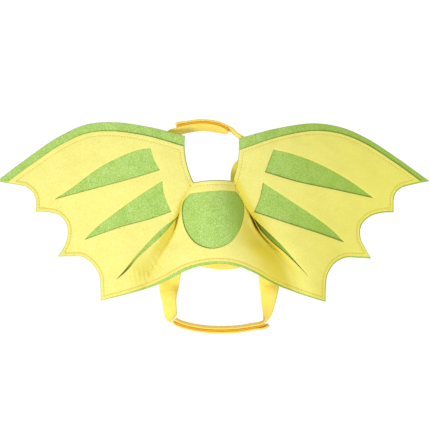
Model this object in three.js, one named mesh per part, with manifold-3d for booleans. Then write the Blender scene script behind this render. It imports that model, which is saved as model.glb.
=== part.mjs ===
// Felt wings for a small pet's costume, lying on a table with both straps fastened into loops.
// A yellow felt front with cut-out windows lies on one green felt backing, and a sewn dart on each side
// arches the back panel between the wings. The neck strap loops out at the top, the belly strap at the
// bottom.
// Millimetres. X runs along the span, Y towards the neck, Z up, and the table is at Z = 0.

import * as THREE from 'three';
import { mergeVertices } from 'three/addons/utils/BufferGeometryUtils.js';
import Module from 'manifold-3d';

// Felt, strap tape and hook pads
const FELT = 1.6;
const TAPE = 1.8;
const TAPE_WIDTH = 20;
const PAD = 1.8;
const PAD_WIDTH = 19;
const GAP = 0.3;
const SEAT_GAP = 0.6;
const TAPE_PITCH = TAPE + PAD + 2 * GAP;

// How far the front stays back from the backing's edge
const INSET_TRAILING = 0.8;
const INSET_TAIL_LEFT = 3.6;
const INSET_TAIL_RIGHT = 1.3;
const INSET_NECK = 0.6;

// Fineness of the meshes
const SCALLOP_STEPS = 2;
const ARC_STEPS = 8;
const EDGE_STEPS = 4;
const TAIL_STEPS = 2;
const LOOP_STEPS = 4;
const ROW_SPACING = 10;
const WING_COLUMNS = 9;
const FOLD_COLUMNS = 4;
const ARCH_COLUMNS = 12;
const SAME_POINT = 1e-4;
const NEARLY_STRAIGHT = 0.05;
const NEARLY_PARALLEL = 0.02;

// Reach of the tools that cut the felt, past every edge and height of the part
const CUT_SPAN = 222;
const CUT_DEPTH = 80;
const CUT_BASE = -20;
const CUT_MARGIN = 30;

// Leading edge of each wing from its neck corner to its tip, and the width of backing that shows along it
const LEADING_LEFT = [
  { x: -27.3, y: 88.3, band: 10.2 },
  { x: -63.5, y: 97.6, band: 9.2 },
  { x: -99.0, y: 102.6, band: 8.8 },
  { x: -126.0, y: 100.6, band: 8.4 },
  { x: -153.0, y: 89.2, band: 7.8 },
  { x: -185.0, y: 68.2, band: 7.4 },
  { x: -216.5, y: 44.7, band: 7.0 },
];
const LEADING_RIGHT = [
  { x: 25.0, y: 85.9, band: 11.4 },
  { x: 62.0, y: 95.8, band: 9.2 },
  { x: 99.0, y: 101.4, band: 8.0 },
  { x: 127.0, y: 97.9, band: 6.8 },
  { x: 153.0, y: 87.3, band: 5.8 },
  { x: 184.0, y: 67.9, band: 5.4 },
  { x: 216.5, y: 44.7, band: 5.4 },
];

// Trailing edge of each wing from tip to tail: smooth scallops between its corners
const TRAILING_LEFT = [
  { x: -216.5, y: 44.7, corner: true }, { x: -200.7, y: 42 }, { x: -188.1, y: 40, corner: true },
  { x: -181.9, y: 35.7 }, { x: -177.8, y: 29.5 }, { x: -176.8, y: 22 },
  { x: -177.1, y: 14.4, corner: true }, { x: -165.2, y: 13.9 }, { x: -153.8, y: 10.9 },
  { x: -146.2, y: 2.1 }, { x: -145.2, y: -9.6 }, { x: -148.9, y: -20.8 },
  { x: -155.1, y: -30.6, corner: true }, { x: -142.5, y: -30.3 }, { x: -129.7, y: -31 },
  { x: -119.7, y: -38.5 }, { x: -113.2, y: -49.2 }, { x: -112.2, y: -61.7 },
  { x: -112.2, y: -74.6, corner: true },
];
const TRAILING_RIGHT = [
  { x: 216.5, y: 44.7, corner: true }, { x: 202.5, y: 42.1 }, { x: 189.1, y: 38.7, corner: true },
  { x: 183.5, y: 34.4 }, { x: 180.6, y: 27.9 }, { x: 180.3, y: 20.9 },
  { x: 180.4, y: 13.7, corner: true }, { x: 168.3, y: 13 }, { x: 156.9, y: 9.4 }, { x: 148.2, y: 1 },
  { x: 147.1, y: -11 }, { x: 152, y: -22 }, { x: 158, y: -32.5, corner: true }, { x: 145.2, y: -31.8 },
  { x: 131.9, y: -31.8 }, { x: 120.3, y: -38 }, { x: 113.8, y: -49.2 }, { x: 112.4, y: -62.3 },
  { x: 112.4, y: -75.8, corner: true },
];

// Tail edge between the two wings, arched over the back
const TAIL = [
  { x: -62.6, y: -61.1 }, { x: -43.5, y: -53 }, { x: -24.5, y: -42.9 }, { x: -7.8, y: -38.2 },
  { x: 7.9, y: -36.9 }, { x: 23.5, y: -39 }, { x: 41.3, y: -46.4 }, { x: 60.3, y: -57.1 },
  { x: 84.5, y: -66.9 },
];

// Neck opening: the corners of the neckline, and how far its three edges curve into the felt
const NECK = { leftX: -18.8, leftY: 42.8, rightX: 19.4, rightY: 44.3 };
const NECK_CURVE = { left: 3.4, neckline: -1.4, right: 2.3 };

// Windows in the wings, from the outer tip, and the round one in the back panel: smooth edges between corners
const LEFT_UPPER_WINDOW = [
  { x: -157.4, y: 26.8, corner: true }, { x: -139.1, y: 38.4 }, { x: -119.6, y: 52.7 },
  { x: -102.8, y: 62.8 }, { x: -84.8, y: 70.8 }, { x: -70.4, y: 75.4 },
  { x: -60.9, y: 76.3, corner: true }, { x: -58, y: 66.3 }, { x: -51.9, y: 55, corner: true },
  { x: -77.8, y: 47.3 }, { x: -110.8, y: 38.8 },
];
const LEFT_MIDDLE_WINDOW = [
  { x: -127.4, y: -13.5, corner: true }, { x: -116.7, y: -2.5 }, { x: -97.6, y: 12.4 },
  { x: -74, y: 28.8 }, { x: -49.6, y: 44.3, corner: true }, { x: -47.7, y: 31 },
  { x: -40.7, y: 14.4, corner: true }, { x: -60.3, y: 7.5 }, { x: -91.9, y: -1.1 },
];
const LEFT_SLIT_WINDOW = [
  { x: -96, y: -53, corner: true }, { x: -87.3, y: -43.5 }, { x: -75.6, y: -29.3 },
  { x: -63.6, y: -16 }, { x: -50.8, y: -3 }, { x: -34.6, y: 9.2, corner: true }, { x: -42.2, y: -0.2 },
  { x: -52.4, y: -11.2 }, { x: -64.5, y: -22.1 }, { x: -73.7, y: -30.4 }, { x: -85.3, y: -44.2 },
];
const RIGHT_UPPER_WINDOW = [
  { x: 159.4, y: 28, corner: true }, { x: 144.4, y: 39.1 }, { x: 123.8, y: 51.7 },
  { x: 99.4, y: 63.5 }, { x: 75.4, y: 71.5 }, { x: 59.5, y: 75, corner: true }, { x: 54.7, y: 62.8 },
  { x: 50.9, y: 52.9, corner: true }, { x: 81.9, y: 43.9 }, { x: 116.3, y: 36.9 },
];
const RIGHT_MIDDLE_WINDOW = [
  { x: 130.4, y: -16.1, corner: true }, { x: 118.9, y: -4.5 }, { x: 101.2, y: 8.8 },
  { x: 75.1, y: 25.9 }, { x: 49.1, y: 42.6, corner: true }, { x: 46, y: 28 },
  { x: 40.4, y: 14, corner: true }, { x: 73.1, y: 3 }, { x: 103.6, y: -6.8 },
];
const RIGHT_SLIT_WINDOW = [
  { x: 94.5, y: -49.4, corner: true }, { x: 82, y: -35.4 }, { x: 68.6, y: -20.8 }, { x: 55, y: -5.8 },
  { x: 40.2, y: 8.3, corner: true }, { x: 45.6, y: -2.1 }, { x: 56, y: -14 }, { x: 70.6, y: -26.8 },
  { x: 81.2, y: -36.2 },
];
const PANEL_WINDOW = [
  { x: -22.4, y: 31.9, corner: true }, { x: -28.7, y: 24.3 }, { x: -30.5, y: 13 },
  { x: -26.7, y: -4.2 }, { x: -16.5, y: -16.9 }, { x: -0.4, y: -21.7 }, { x: 16.6, y: -15.9 },
  { x: 26.9, y: -1.9 }, { x: 30.9, y: 15.9 }, { x: 28.9, y: 25.3 }, { x: 22.6, y: 34.1, corner: true },
  { x: 10.8, y: 34.9 }, { x: -6.5, y: 33.8 },
];
const WINDOWS = [
  LEFT_UPPER_WINDOW, LEFT_MIDDLE_WINDOW, LEFT_SLIT_WINDOW,
  RIGHT_UPPER_WINDOW, RIGHT_MIDDLE_WINDOW, RIGHT_SLIT_WINDOW, PANEL_WINDOW,
];

// Cross sections of the lying felt from neck to tail: the two dart seams with their height, the ridge of the
// back, and on each wing the crest beyond the seam, its height, and where the wing comes down to the table
const SECTIONS = [
  { y: 112, seamL: -9.0, seamR: 10.0, seamZ: 19.0, ridgeZ: 34, crest: 15, crestZ: 25, reach: 206 },
  { y: 80, seamL: -13.0, seamR: 14.0, seamZ: 17.0, ridgeZ: 34, crest: 14, crestZ: 26, reach: 206 },
  { y: 45, seamL: -19.7, seamR: 20.3, seamZ: 14.0, ridgeZ: 32, crest: 13, crestZ: 24, reach: 202 },
  { y: 10, seamL: -35.5, seamR: 39.5, seamZ: 7.0, ridgeZ: 31, crest: 15, crestZ: 19, reach: 172 },
  { y: -25, seamL: -54.0, seamR: 63.0, seamZ: 5.5, ridgeZ: 27, crest: 18, crestZ: 14, reach: 152 },
  { y: -60, seamL: -66.5, seamR: 83.0, seamZ: 5.0, ridgeZ: 21, crest: 17, crestZ: 9, reach: 121 },
  { y: -84, seamL: -70.0, seamR: 88.0, seamZ: 4.0, ridgeZ: 18, crest: 16, crestZ: 6, reach: 106 },
];

// Stretch of belly strap sewn under the back panel, from flank to flank, by its lower edge
const BACK_STRAP = [
  { x: -48, y: -31.0 }, { x: -27, y: -33.0 }, { x: -10.3, y: -38.6 }, { x: 8.9, y: -42.8 },
  { x: 27.5, y: -39.4 }, { x: 45, y: -33.5 }, { x: 65, y: -31.0 },
];

// Routes of the straps, fastened ends included, by the middle of the tape. Lean is the angle of the tape's
// outer edge above level. Rows with no height are sewn under the felt where they say so, and else stand on
// the table.
const NECK_LOOP = [
  { x: 27.5, y: 34.0, sewn: true },
  { x: 27.3, y: 47.0, z: 11.5, lean: 0 },
  { x: 28.3, y: 54.8, z: 11.0, lean: 6 },
  { x: 34.2, y: 63.5, z: 10.6, lean: 35 },
  { x: 36.8, y: 77.0, z: 10.4, lean: 65 },
  { x: 31.3, y: 85.7, lean: 87 },
  { x: 23.2, y: 90.5, lean: 86 },
  { x: 14.5, y: 94.8, lean: 83 },
  { x: 3.0, y: 98.3, lean: 75 },
  { x: -10.0, y: 99.8, lean: 74 },
  { x: -22.0, y: 98.7, lean: 74 },
  { x: -33.5, y: 95.9, z: 10.9, lean: 73 },
  { x: -43.0, y: 90.6, lean: 72 },
  { x: -47.5, y: 82.0, z: 10.4, lean: 58 },
  { x: -46.0, y: 70.0, z: 10.6, lean: 38 },
  { x: -39.0, y: 57.0, z: 11.0, lean: 15 },
  { x: -31.5, y: 46.0, z: 11.5, lean: 0 },
  { x: -28.0, y: 34.0, sewn: true },
];
const BELLY_LOOP = [
  { x: -34.5, y: -17.0, sewn: true },
  { x: -37.3, y: -28.0, sewn: true },
  { x: -40.2, y: -40.0, sewn: true },
  { x: -43.4, y: -56.0, z: 4.6, lean: 3 },
  { x: -44.2, y: -66.0, z: 7.0, lean: 28 },
  { x: -43.4, y: -75.0, z: 8.5, lean: 46 },
  { x: -41.2, y: -89.0, lean: 65 },
  { x: -36.5, y: -94.6, lean: 90 },
  { x: -22.0, y: -99.6, lean: 90 },
  { x: -7.0, y: -101.9, lean: 90 },
  { x: 9.0, y: -102.6, lean: 90 },
  { x: 25.0, y: -101.8, lean: 90 },
  { x: 38.0, y: -99.8, lean: 90 },
  { x: 52.0, y: -96.0, lean: 90 },
  { x: 53.6, y: -88.0, lean: 72 },
  { x: 54.6, y: -76.0, z: 8.5, lean: 51 },
  { x: 55.6, y: -66.0, z: 7.0, lean: 34 },
  { x: 55.8, y: -56.0, z: 4.6, lean: 3 },
  { x: 53.8, y: -40.0, sewn: true },
  { x: 51.5, y: -28.0, sewn: true },
  { x: 49.5, y: -17.0, sewn: true },
];

// Where each loop's two tapes end and its hook pad lies, counted in rows of its route
const NECK_ENDS = { inner: 6.8, outer: 11.15, padFrom: 6.95, padTo: 11.1 };
const BELLY_ENDS = { inner: 6.7, outer: 13.1, padFrom: 6.95, padTo: 12.95 };

// How far the outer tape's free end stands off the loop
const END_SPRING = 1.2;

const COLOURS = { frontFelt: '#f8f18c', backFelt: '#b4d46f', tape: '#fcec66', pad: '#eeb844' };

const wasm = await Module();
wasm.setup();

// Turns a three.js geometry into a solid that can be cut
function toSolid(geometry) {
  const bare = geometry.clone();
  bare.deleteAttribute('normal');
  bare.deleteAttribute('uv');
  const merged = mergeVertices(bare, SAME_POINT);
  const vertProperties = new Float32Array(merged.attributes.position.array);
  const triVerts = new Uint32Array(merged.index.array);
  return new wasm.Manifold(new wasm.Mesh({ numProp: 3, vertProperties, triVerts }));
}

// Turns a cut solid back into a three.js geometry
function toGeometry(solid) {
  const mesh = solid.getMesh();
  return faceted(Array.from(mesh.vertProperties), Array.from(mesh.triVerts));
}

// Geometry from flat lists of coordinates and triangle corners
function faceted(positions, corners) {
  const geometry = new THREE.BufferGeometry();
  geometry.setAttribute('position', new THREE.Float32BufferAttribute(positions, 3));
  geometry.setIndex(corners);
  geometry.computeVertexNormals();
  return geometry;
}

// Smooth step from 0 to 1
function ease(t) {
  const s = THREE.MathUtils.clamp(t, 0, 1);
  return s * s * (3 - 2 * s);
}

const flat = (row) => new THREE.Vector2(row.x, row.y);

// Points on an arc that stands off its chord to the left of travel, without its last point
function arc(from, to, bulge, steps) {
  if (Math.abs(bulge) < NEARLY_STRAIGHT) return [from.clone()];
  const half = from.distanceTo(to) / 2;
  const radius = (half * half + bulge * bulge) / (2 * bulge);
  const chord = to.clone().sub(from).normalize();
  const left = new THREE.Vector2(-chord.y, chord.x);
  const centre = from.clone().add(to).multiplyScalar(0.5).addScaledVector(left, bulge - radius);
  const sweep = 4 * Math.atan(bulge / half);
  return Array.from({ length: steps }, (_, k) => from.clone().rotateAround(centre, (-sweep * k) / steps));
}

// Smooth edge through a row of points
function smoothEdge(rows, steps) {
  return new THREE.SplineCurve(rows.map(flat)).getPoints((rows.length - 1) * steps);
}

// Edge that is smooth from each corner to the next, as on a scalloped wing
function corneredEdge(rows) {
  const corners = rows.flatMap((row, k) => (row.corner ? [k] : []));
  const runs = corners.slice(1).map((end, n) => rows.slice(corners[n], end + 1));
  const points = runs.flatMap((run) => smoothEdge(run, SCALLOP_STEPS).slice(0, -1));
  return [...points, flat(rows.at(-1))];
}

function tailEdge() {
  const ends = [TRAILING_LEFT.at(-1), TRAILING_RIGHT.at(-1)];
  return smoothEdge([ends[0], ...TAIL, ends[1]], TAIL_STEPS).slice(0, -1);
}

// Setback of the front along the tail, even from the left wing to the right one
function tailInset(x) {
  const [left, right] = [TRAILING_LEFT.at(-1).x, TRAILING_RIGHT.at(-1).x];
  return THREE.MathUtils.mapLinear(x, left, right, INSET_TAIL_LEFT, INSET_TAIL_RIGHT);
}

function neckEdge() {
  const right = new THREE.Vector2(NECK.rightX, NECK.rightY);
  const left = new THREE.Vector2(NECK.leftX, NECK.leftY);
  return [
    ...arc(flat(LEADING_RIGHT[0]), right, NECK_CURVE.right, ARC_STEPS),
    ...arc(right, left, NECK_CURVE.neckline, ARC_STEPS),
    ...arc(left, flat(LEADING_LEFT[0]), NECK_CURVE.left, ARC_STEPS),
  ];
}

// The felt's outline anticlockwise from the left tip, with the front's setback on every edge
function feltOutline() {
  const marked = (points, inset) => points.map((point) => ({ point, inset }));
  return [
    ...marked(corneredEdge(TRAILING_LEFT).slice(0, -1), INSET_TRAILING),
    ...tailEdge().map((point) => ({ point, inset: tailInset(point.x) })),
    ...marked(corneredEdge(TRAILING_RIGHT).reverse().slice(0, -1), INSET_TRAILING),
    ...marked(smoothEdge(LEADING_RIGHT, EDGE_STEPS).reverse().slice(0, -1), 0),
    ...marked(neckEdge(), INSET_NECK),
    ...marked(smoothEdge(LEADING_LEFT, EDGE_STEPS).slice(0, -1), 0),
  ];
}

// Moves every edge of a closed outline inwards by its own setback and joins the edges again at their corners
function setBack(outline) {
  const count = outline.length;
  const edges = outline.map(({ point, inset }, k) => {
    const along = outline[(k + 1) % count].point.clone().sub(point).normalize();
    const inward = new THREE.Vector2(-along.y, along.x);
    return { start: point.clone().addScaledVector(inward, inset), along };
  });
  return edges.map(({ start, along }, k) => {
    const before = edges[(k + count - 1) % count];
    const turn = before.along.cross(along);
    if (Math.abs(turn) < NEARLY_PARALLEL) return start;
    const reach = start.clone().sub(before.start).cross(along) / turn;
    return before.start.clone().addScaledVector(before.along, reach);
  });
}

// Upright prism of an outline, for cutting felt
function cutter(points) {
  const shape = new THREE.Shape(points);
  const geometry = new THREE.ExtrudeGeometry(shape, { depth: CUT_DEPTH, bevelEnabled: false });
  geometry.translate(0, 0, CUT_BASE);
  return toSolid(geometry);
}

// Takes the front off the strip along a leading edge, where the backing shows
function bandCutter(rows, side) {
  const edge = rows.map((row, k) => {
    const before = flat(rows[Math.max(k - 1, 0)]);
    const after = flat(rows[Math.min(k + 1, rows.length - 1)]);
    const along = after.sub(before).normalize();
    return { x: row.x - side * row.band * along.y, y: row.y + side * row.band * along.x };
  });
  const inner = smoothEdge(edge, EDGE_STEPS);
  const stretch = (end, next) => end.clone().add(end.clone().sub(next).setLength(CUT_MARGIN));
  inner.unshift(stretch(inner[0], inner[1]));
  inner.push(stretch(inner.at(-1), inner.at(-2)));
  const outer = inner.map((point) => new THREE.Vector2(point.x, point.y + 2 * CUT_MARGIN)).reverse();
  return cutter([...inner, ...outer]);
}

function windowCutter(rows) {
  return cutter(corneredEdge([...rows, rows[0]]).slice(0, -1));
}

// One cross section, blended smoothly between the rows of the table
function sectionAt(y) {
  const last = SECTIONS.length - 1;
  const found = SECTIONS.findIndex((row, k) => k < last && y >= SECTIONS[k + 1].y);
  const k = found < 0 ? last - 1 : found;
  const rows = [Math.max(k - 1, 0), k, k + 1, Math.min(k + 2, last)].map((n) => SECTIONS[n]);
  const [before, from, to, after] = rows;
  const span = to.y - from.y;
  const t = (y - from.y) / span;
  const blend = (name) => {
    const slopeFrom = ((to[name] - before[name]) / (to.y - before.y)) * span;
    const slopeTo = ((after[name] - from[name]) / (after.y - from.y)) * span;
    const rise = to[name] - from[name];
    const bend = slopeFrom + slopeTo - 2 * rise;
    return from[name] + t * (slopeFrom + t * (3 * rise - 2 * slopeFrom - slopeTo + t * bend));
  };
  return Object.fromEntries(Object.keys(from).map((name) => [name, blend(name)]));
}

// Height of the felt's underside over the table
function feltHeight(x, y) {
  const s = sectionAt(y);
  const middle = (s.seamL + s.seamR) / 2;
  const half = (s.seamR - s.seamL) / 2;
  const across = Math.abs(x - middle) / half;
  if (across < 1) return s.seamZ + (s.ridgeZ - s.seamZ) * Math.cos((across * Math.PI) / 2);
  const seam = x < middle ? -s.seamL : s.seamR;
  const out = Math.abs(x) - seam;
  if (out < s.crest) return s.seamZ + (s.crestZ - s.seamZ) * Math.sin((out / s.crest) * (Math.PI / 2));
  return s.crestZ * (1 - ease((out - s.crest) / (s.reach - seam - s.crest)));
}

// Places across the span where one row of the felt's mesh has its points: table, crest, seam and arch
function spanPoints(y) {
  const s = sectionAt(y);
  const between = (from, to, count) => {
    return Array.from({ length: count }, (_, k) => THREE.MathUtils.lerp(from, to, k / count));
  };
  return [
    -CUT_SPAN,
    ...between(-s.reach, s.seamL - s.crest, WING_COLUMNS),
    ...between(s.seamL - s.crest, s.seamL, FOLD_COLUMNS),
    ...between(s.seamL, s.seamR, ARCH_COLUMNS),
    ...between(s.seamR, s.seamR + s.crest, FOLD_COLUMNS),
    ...between(s.seamR + s.crest, s.reach, WING_COLUMNS),
    s.reach,
    CUT_SPAN,
  ];
}

// A sheet that follows the lying felt, between two distances from its underside measured square to the felt
function sheet(under, over) {
  const top = SECTIONS[0].y;
  const rowCount = Math.round((top - SECTIONS.at(-1).y) / ROW_SPACING);
  const rows = Array.from({ length: rowCount + 1 }, (_, j) => {
    const y = THREE.MathUtils.lerp(top, SECTIONS.at(-1).y, j / rowCount);
    const points = spanPoints(y).map((x) => ({ x, y, z: feltHeight(x, y) }));
    const steep = points.slice(1).map((p, i) => Math.hypot(1, (p.z - points[i].z) / (p.x - points[i].x)));
    return points.map((p, i) => ({ ...p, rise: ((steep[i - 1] ?? 1) + (steep[i] ?? 1)) / 2 }));
  });
  const width = rows[0].length;
  const layer = (offset) => rows.flat().flatMap((p) => [p.x, p.y, p.z + offset * p.rise]);
  const lower = rows.length * width;
  const corners = [];
  const quad = (a, b, c, d) => corners.push(a, b, c, a, c, d);
  for (let j = 0; j < rowCount; j += 1) {
    for (let i = 0; i < width - 1; i += 1) {
      const [a, b] = [j * width + i, (j + 1) * width + i];
      quad(a, b, b + 1, a + 1);
      quad(lower + a, lower + a + 1, lower + b + 1, lower + b);
    }
  }
  const rim = [
    ...Array.from({ length: rowCount }, (_, j) => j * width),
    ...Array.from({ length: width - 1 }, (_, i) => rowCount * width + i),
    ...Array.from({ length: rowCount }, (_, j) => (rowCount - j + 1) * width - 1),
    ...Array.from({ length: width - 1 }, (_, i) => width - 1 - i),
  ];
  rim.forEach((from, k) => {
    const to = rim[(k + 1) % rim.length];
    quad(lower + from, lower + to, to, from);
  });
  return toSolid(faceted([...layer(over), ...layer(under)], corners));
}

function wingBacking() {
  return toGeometry(sheet(0, FELT).intersect(cutter(feltOutline().map(({ point }) => point))));
}

function wingFront() {
  const cuts = [
    bandCutter(LEADING_LEFT, 1),
    bandCutter(LEADING_RIGHT, -1),
    ...WINDOWS.map(windowCutter),
  ];
  const blank = sheet(FELT + GAP, 2 * FELT + GAP).intersect(cutter(setBack(feltOutline())));
  return toGeometry(cuts.reduce((felt, cut) => felt.subtract(cut), blank));
}

function bellyStrapBack() {
  const low = smoothEdge(BACK_STRAP, EDGE_STEPS);
  const high = low.map((point) => new THREE.Vector2(point.x, point.y + TAPE_WIDTH)).reverse();
  return toGeometry(sheet(-GAP - TAPE, -GAP).intersect(cutter([...low, ...high])));
}

// Height and lean of a tape that is sewn flat under the felt, or under the layers that hang below it
function sewnSeat(row, outward, layersAbove) {
  const half = TAPE_WIDTH / 2;
  const under = (u) => feltHeight(row.x + u * outward.x, row.y + u * outward.y) - layersAbove;
  const lean = Math.atan2(under(half) - under(-half), TAPE_WIDTH);
  const places = Array.from({ length: TAPE_WIDTH + 1 }, (_, k) => k - half);
  const room = places.map((u) => under(u * Math.cos(lean)) - u * Math.sin(lean));
  return { z: Math.min(...room) - SEAT_GAP - TAPE / 2 / Math.cos(lean), lean };
}

// Stations along a strap's route: middle of the tape, its width direction and the normal away from the loop
function stations(rows, layersAbove) {
  const last = rows.length - 1;
  const curve = new THREE.CatmullRomCurve3(rows.map((row) => new THREE.Vector3(row.x, row.y, 0)));
  const outwardAt = (t) => curve.getTangent(t).cross(new THREE.Vector3(0, 0, 1)).normalize();
  const standing = (lean) => (TAPE_WIDTH / 2) * Math.sin(lean) + ((TAPE_PITCH + TAPE) / 2) * Math.cos(lean);
  const seats = rows.map((row, k) => {
    if (row.sewn) return sewnSeat(row, outwardAt(k / last), layersAbove);
    const lean = THREE.MathUtils.degToRad(row.lean);
    return { z: row.z ?? standing(lean), lean };
  });
  const middles = Array.from({ length: last * LOOP_STEPS + 1 }, (_, n) => {
    const at = n / LOOP_STEPS;
    const k = Math.min(Math.floor(at), last - 1);
    const t = ease(at - k);
    const lean = THREE.MathUtils.lerp(seats[k].lean, seats[k + 1].lean, t);
    const middle = curve.getPoint(at / last);
    middle.z = Math.max(THREE.MathUtils.lerp(seats[k].z, seats[k + 1].z, t), standing(lean));
    return { at, middle, lean };
  });
  return middles.map(({ at, middle, lean }, n) => {
    const before = middles[Math.max(n - 1, 0)].middle;
    const after = middles[Math.min(n + 1, middles.length - 1)].middle;
    const along = after.clone().sub(before).normalize();
    const outward = outwardAt(at / last);
    const across = outward.multiplyScalar(Math.cos(lean)).add(new THREE.Vector3(0, 0, Math.sin(lean)));
    const away = along.clone().cross(across).normalize();
    return { at, middle, across, away };
  });
}

// A tape swept along part of a route, each station shifted away from the loop by its own layer
function tape(route, from, to, shift, width, thickness) {
  const used = route.filter(({ at }) => at >= from && at <= to);
  const positions = used.flatMap(({ at, middle, across, away }) => {
    const layer = middle.clone().addScaledVector(away, shift(at));
    const corner = (u, v) => {
      const edge = layer.clone().addScaledVector(across, (u * width) / 2);
      return edge.addScaledVector(away, (v * thickness) / 2);
    };
    return [corner(-1, -1), corner(1, -1), corner(1, 1), corner(-1, 1)].flatMap((p) => p.toArray());
  });
  const corners = [0, 3, 2, 0, 2, 1];
  for (let n = 0; n < used.length - 1; n += 1) {
    for (let k = 0; k < 4; k += 1) {
      const [a, b] = [4 * n + k, 4 * n + ((k + 1) % 4)];
      corners.push(a, b, b + 4, a, b + 4, a + 4);
    }
  }
  const end = 4 * (used.length - 1);
  corners.push(end, end + 1, end + 2, end, end + 2, end + 3);
  return faceted(positions, corners);
}

// A fastened loop: the outer tape starts the route, the inner tape ends it, and a hook pad joins them where
// they overlap
function fastenedLoop(rows, ends, layersAbove) {
  const route = stations(rows, layersAbove);
  const spring = (at) => END_SPRING * ease(at - ends.outer + 1);
  const outerShift = (at) => (TAPE_PITCH / 2) * ease(at - ends.inner + 1) + spring(at);
  const innerShift = (at) => (-TAPE_PITCH / 2) * ease(ends.outer + 1 - at);
  return {
    outer: tape(route, 0, ends.outer, outerShift, TAPE_WIDTH, TAPE),
    inner: tape(route, ends.inner, rows.length - 1, innerShift, TAPE_WIDTH, TAPE),
    pad: tape(route, ends.padFrom, ends.padTo, () => 0, PAD_WIDTH, PAD),
  };
}

function named(name, geometry, colour, roughness) {
  const material = new THREE.MeshStandardMaterial({ color: colour, roughness, metalness: 0 });
  const mesh = new THREE.Mesh(geometry, material);
  mesh.name = name;
  return mesh;
}

const neckLoop = fastenedLoop(NECK_LOOP, NECK_ENDS, 0);
const bellyLoop = fastenedLoop(BELLY_LOOP, BELLY_ENDS, GAP + TAPE);

const wings = new THREE.Group();
wings.add(
  named('wing_backing', wingBacking(), COLOURS.backFelt, 0.95),
  named('wing_front', wingFront(), COLOURS.frontFelt, 0.95),
  named('neck_strap_right', neckLoop.outer, COLOURS.tape, 0.85),
  named('neck_strap_left', neckLoop.inner, COLOURS.tape, 0.85),
  named('neck_fastener', neckLoop.pad, COLOURS.pad, 0.6),
  named('belly_strap_back', bellyStrapBack(), COLOURS.tape, 0.85),
  named('belly_strap_left', bellyLoop.outer, COLOURS.tape, 0.85),
  named('belly_strap_right', bellyLoop.inner, COLOURS.tape, 0.85),
  named('belly_fastener', bellyLoop.pad, COLOURS.pad, 0.6),
);

export default wings;
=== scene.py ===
# %% [markdown]
# # Felt wings for a small pet's costume
# Two wings and a back panel are cut in one piece from green felt, and a yellow felt front with seven windows
# is sewn on top. A neck strap and a belly strap of soft tape are fastened into loops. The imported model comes
# in first as a fixed frame, and each piece of cloth made below takes the place of one of its solids.

# %% Load the frame
import math

import bpy
import numpy as np
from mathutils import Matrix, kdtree
from mathutils.geometry import delaunay_2d_cdt


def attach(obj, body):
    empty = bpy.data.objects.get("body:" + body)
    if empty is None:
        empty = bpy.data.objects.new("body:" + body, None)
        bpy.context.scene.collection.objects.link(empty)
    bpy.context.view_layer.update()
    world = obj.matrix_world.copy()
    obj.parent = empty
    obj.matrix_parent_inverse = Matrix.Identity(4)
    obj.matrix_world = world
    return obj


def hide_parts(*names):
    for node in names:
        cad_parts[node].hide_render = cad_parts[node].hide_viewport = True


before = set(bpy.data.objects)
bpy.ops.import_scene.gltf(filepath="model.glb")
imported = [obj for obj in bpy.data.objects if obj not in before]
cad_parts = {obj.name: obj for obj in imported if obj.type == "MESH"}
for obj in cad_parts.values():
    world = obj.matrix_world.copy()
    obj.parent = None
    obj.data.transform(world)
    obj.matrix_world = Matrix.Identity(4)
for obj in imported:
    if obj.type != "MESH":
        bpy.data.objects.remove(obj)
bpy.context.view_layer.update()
MM = 0.001

# %% [markdown]
# ## Camera, light and floor
# The wings were photographed lying flat, from straight above, so the camera looks down from well overhead.
# One large soft lamp stands high on the left, towards the tail, because the right sides of the folds are the
# darker ones and each cut edge throws its thin shadow up and to the right. A bright sky fills the rest. The
# paper on the floor glows a little, so that it stays as white and even as in the photograph.

# %% Camera straight above
VIEW_SIDE_MM = 430.0
CAMERA_HEIGHT = 1.2
CAMERA_OVER_MM = (2.0, 11.0)
CAMERA_REACH = 20.0
SENSOR_MM = 36.0

scene = bpy.context.scene
lens = bpy.data.cameras.new("overhead_camera")
lens.sensor_width = SENSOR_MM
lens.lens = SENSOR_MM * CAMERA_HEIGHT / (VIEW_SIDE_MM * MM)
lens.clip_end = CAMERA_REACH
camera = bpy.data.objects.new("overhead_camera", lens)
camera.location = (CAMERA_OVER_MM[0] * MM, CAMERA_OVER_MM[1] * MM, CAMERA_HEIGHT)
scene.collection.objects.link(camera)
scene.camera = camera
scene.view_settings.view_transform = "Standard"
print("lens in mm:", round(lens.lens, 1), "for a view in mm of", VIEW_SIDE_MM)

# %% [markdown]
# ## Colours and shader nodes
# Colours are written as the hex values a picture shows. A shader works in linear light, so one function
# converts them. A second one adds any node, so a material reads as a list of what feeds what. The others are
# short ways to blend, to scale and to read a stored value.

# %% Helpers for every material
def linear(hex_colour):
    """An sRGB hex colour as linear red, green, blue and full alpha."""
    parts = [int(hex_colour[k:k + 2], 16) / 255 for k in (1, 3, 5)]
    return [c / 12.92 if c <= 0.04045 else ((c + 0.055) / 1.055) ** 2.4 for c in parts] + [1.0]


def add_node(tree, kind, inputs=None, **settings):
    """Adds a node with its settings; an input is a plain value or another node's output."""
    made = tree.nodes.new(kind)
    for name, value in settings.items():
        setattr(made, name, value)
    in_use = {socket.name: socket for socket in made.inputs if socket.enabled}
    for name, value in (inputs or {}).items():
        socket = made.inputs[name] if isinstance(name, int) else in_use[name]
        if isinstance(value, bpy.types.NodeSocket):
            tree.links.new(value, socket)
        else:
            socket.default_value = value
    return made


def blend(tree, factor, first, second, kind="FLOAT"):
    """Output that blends two values, or two colours if the kind is RGBA."""
    made = add_node(tree, "ShaderNodeMix", {"Factor": factor, "A": first, "B": second}, data_type=kind)
    return next(socket for socket in made.outputs if socket.enabled)


def scaled(tree, value, factor):
    """Output that multiplies a value by a factor."""
    return add_node(tree, "ShaderNodeMath", {0: value, 1: factor}, operation="MULTIPLY").outputs["Value"]


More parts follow.
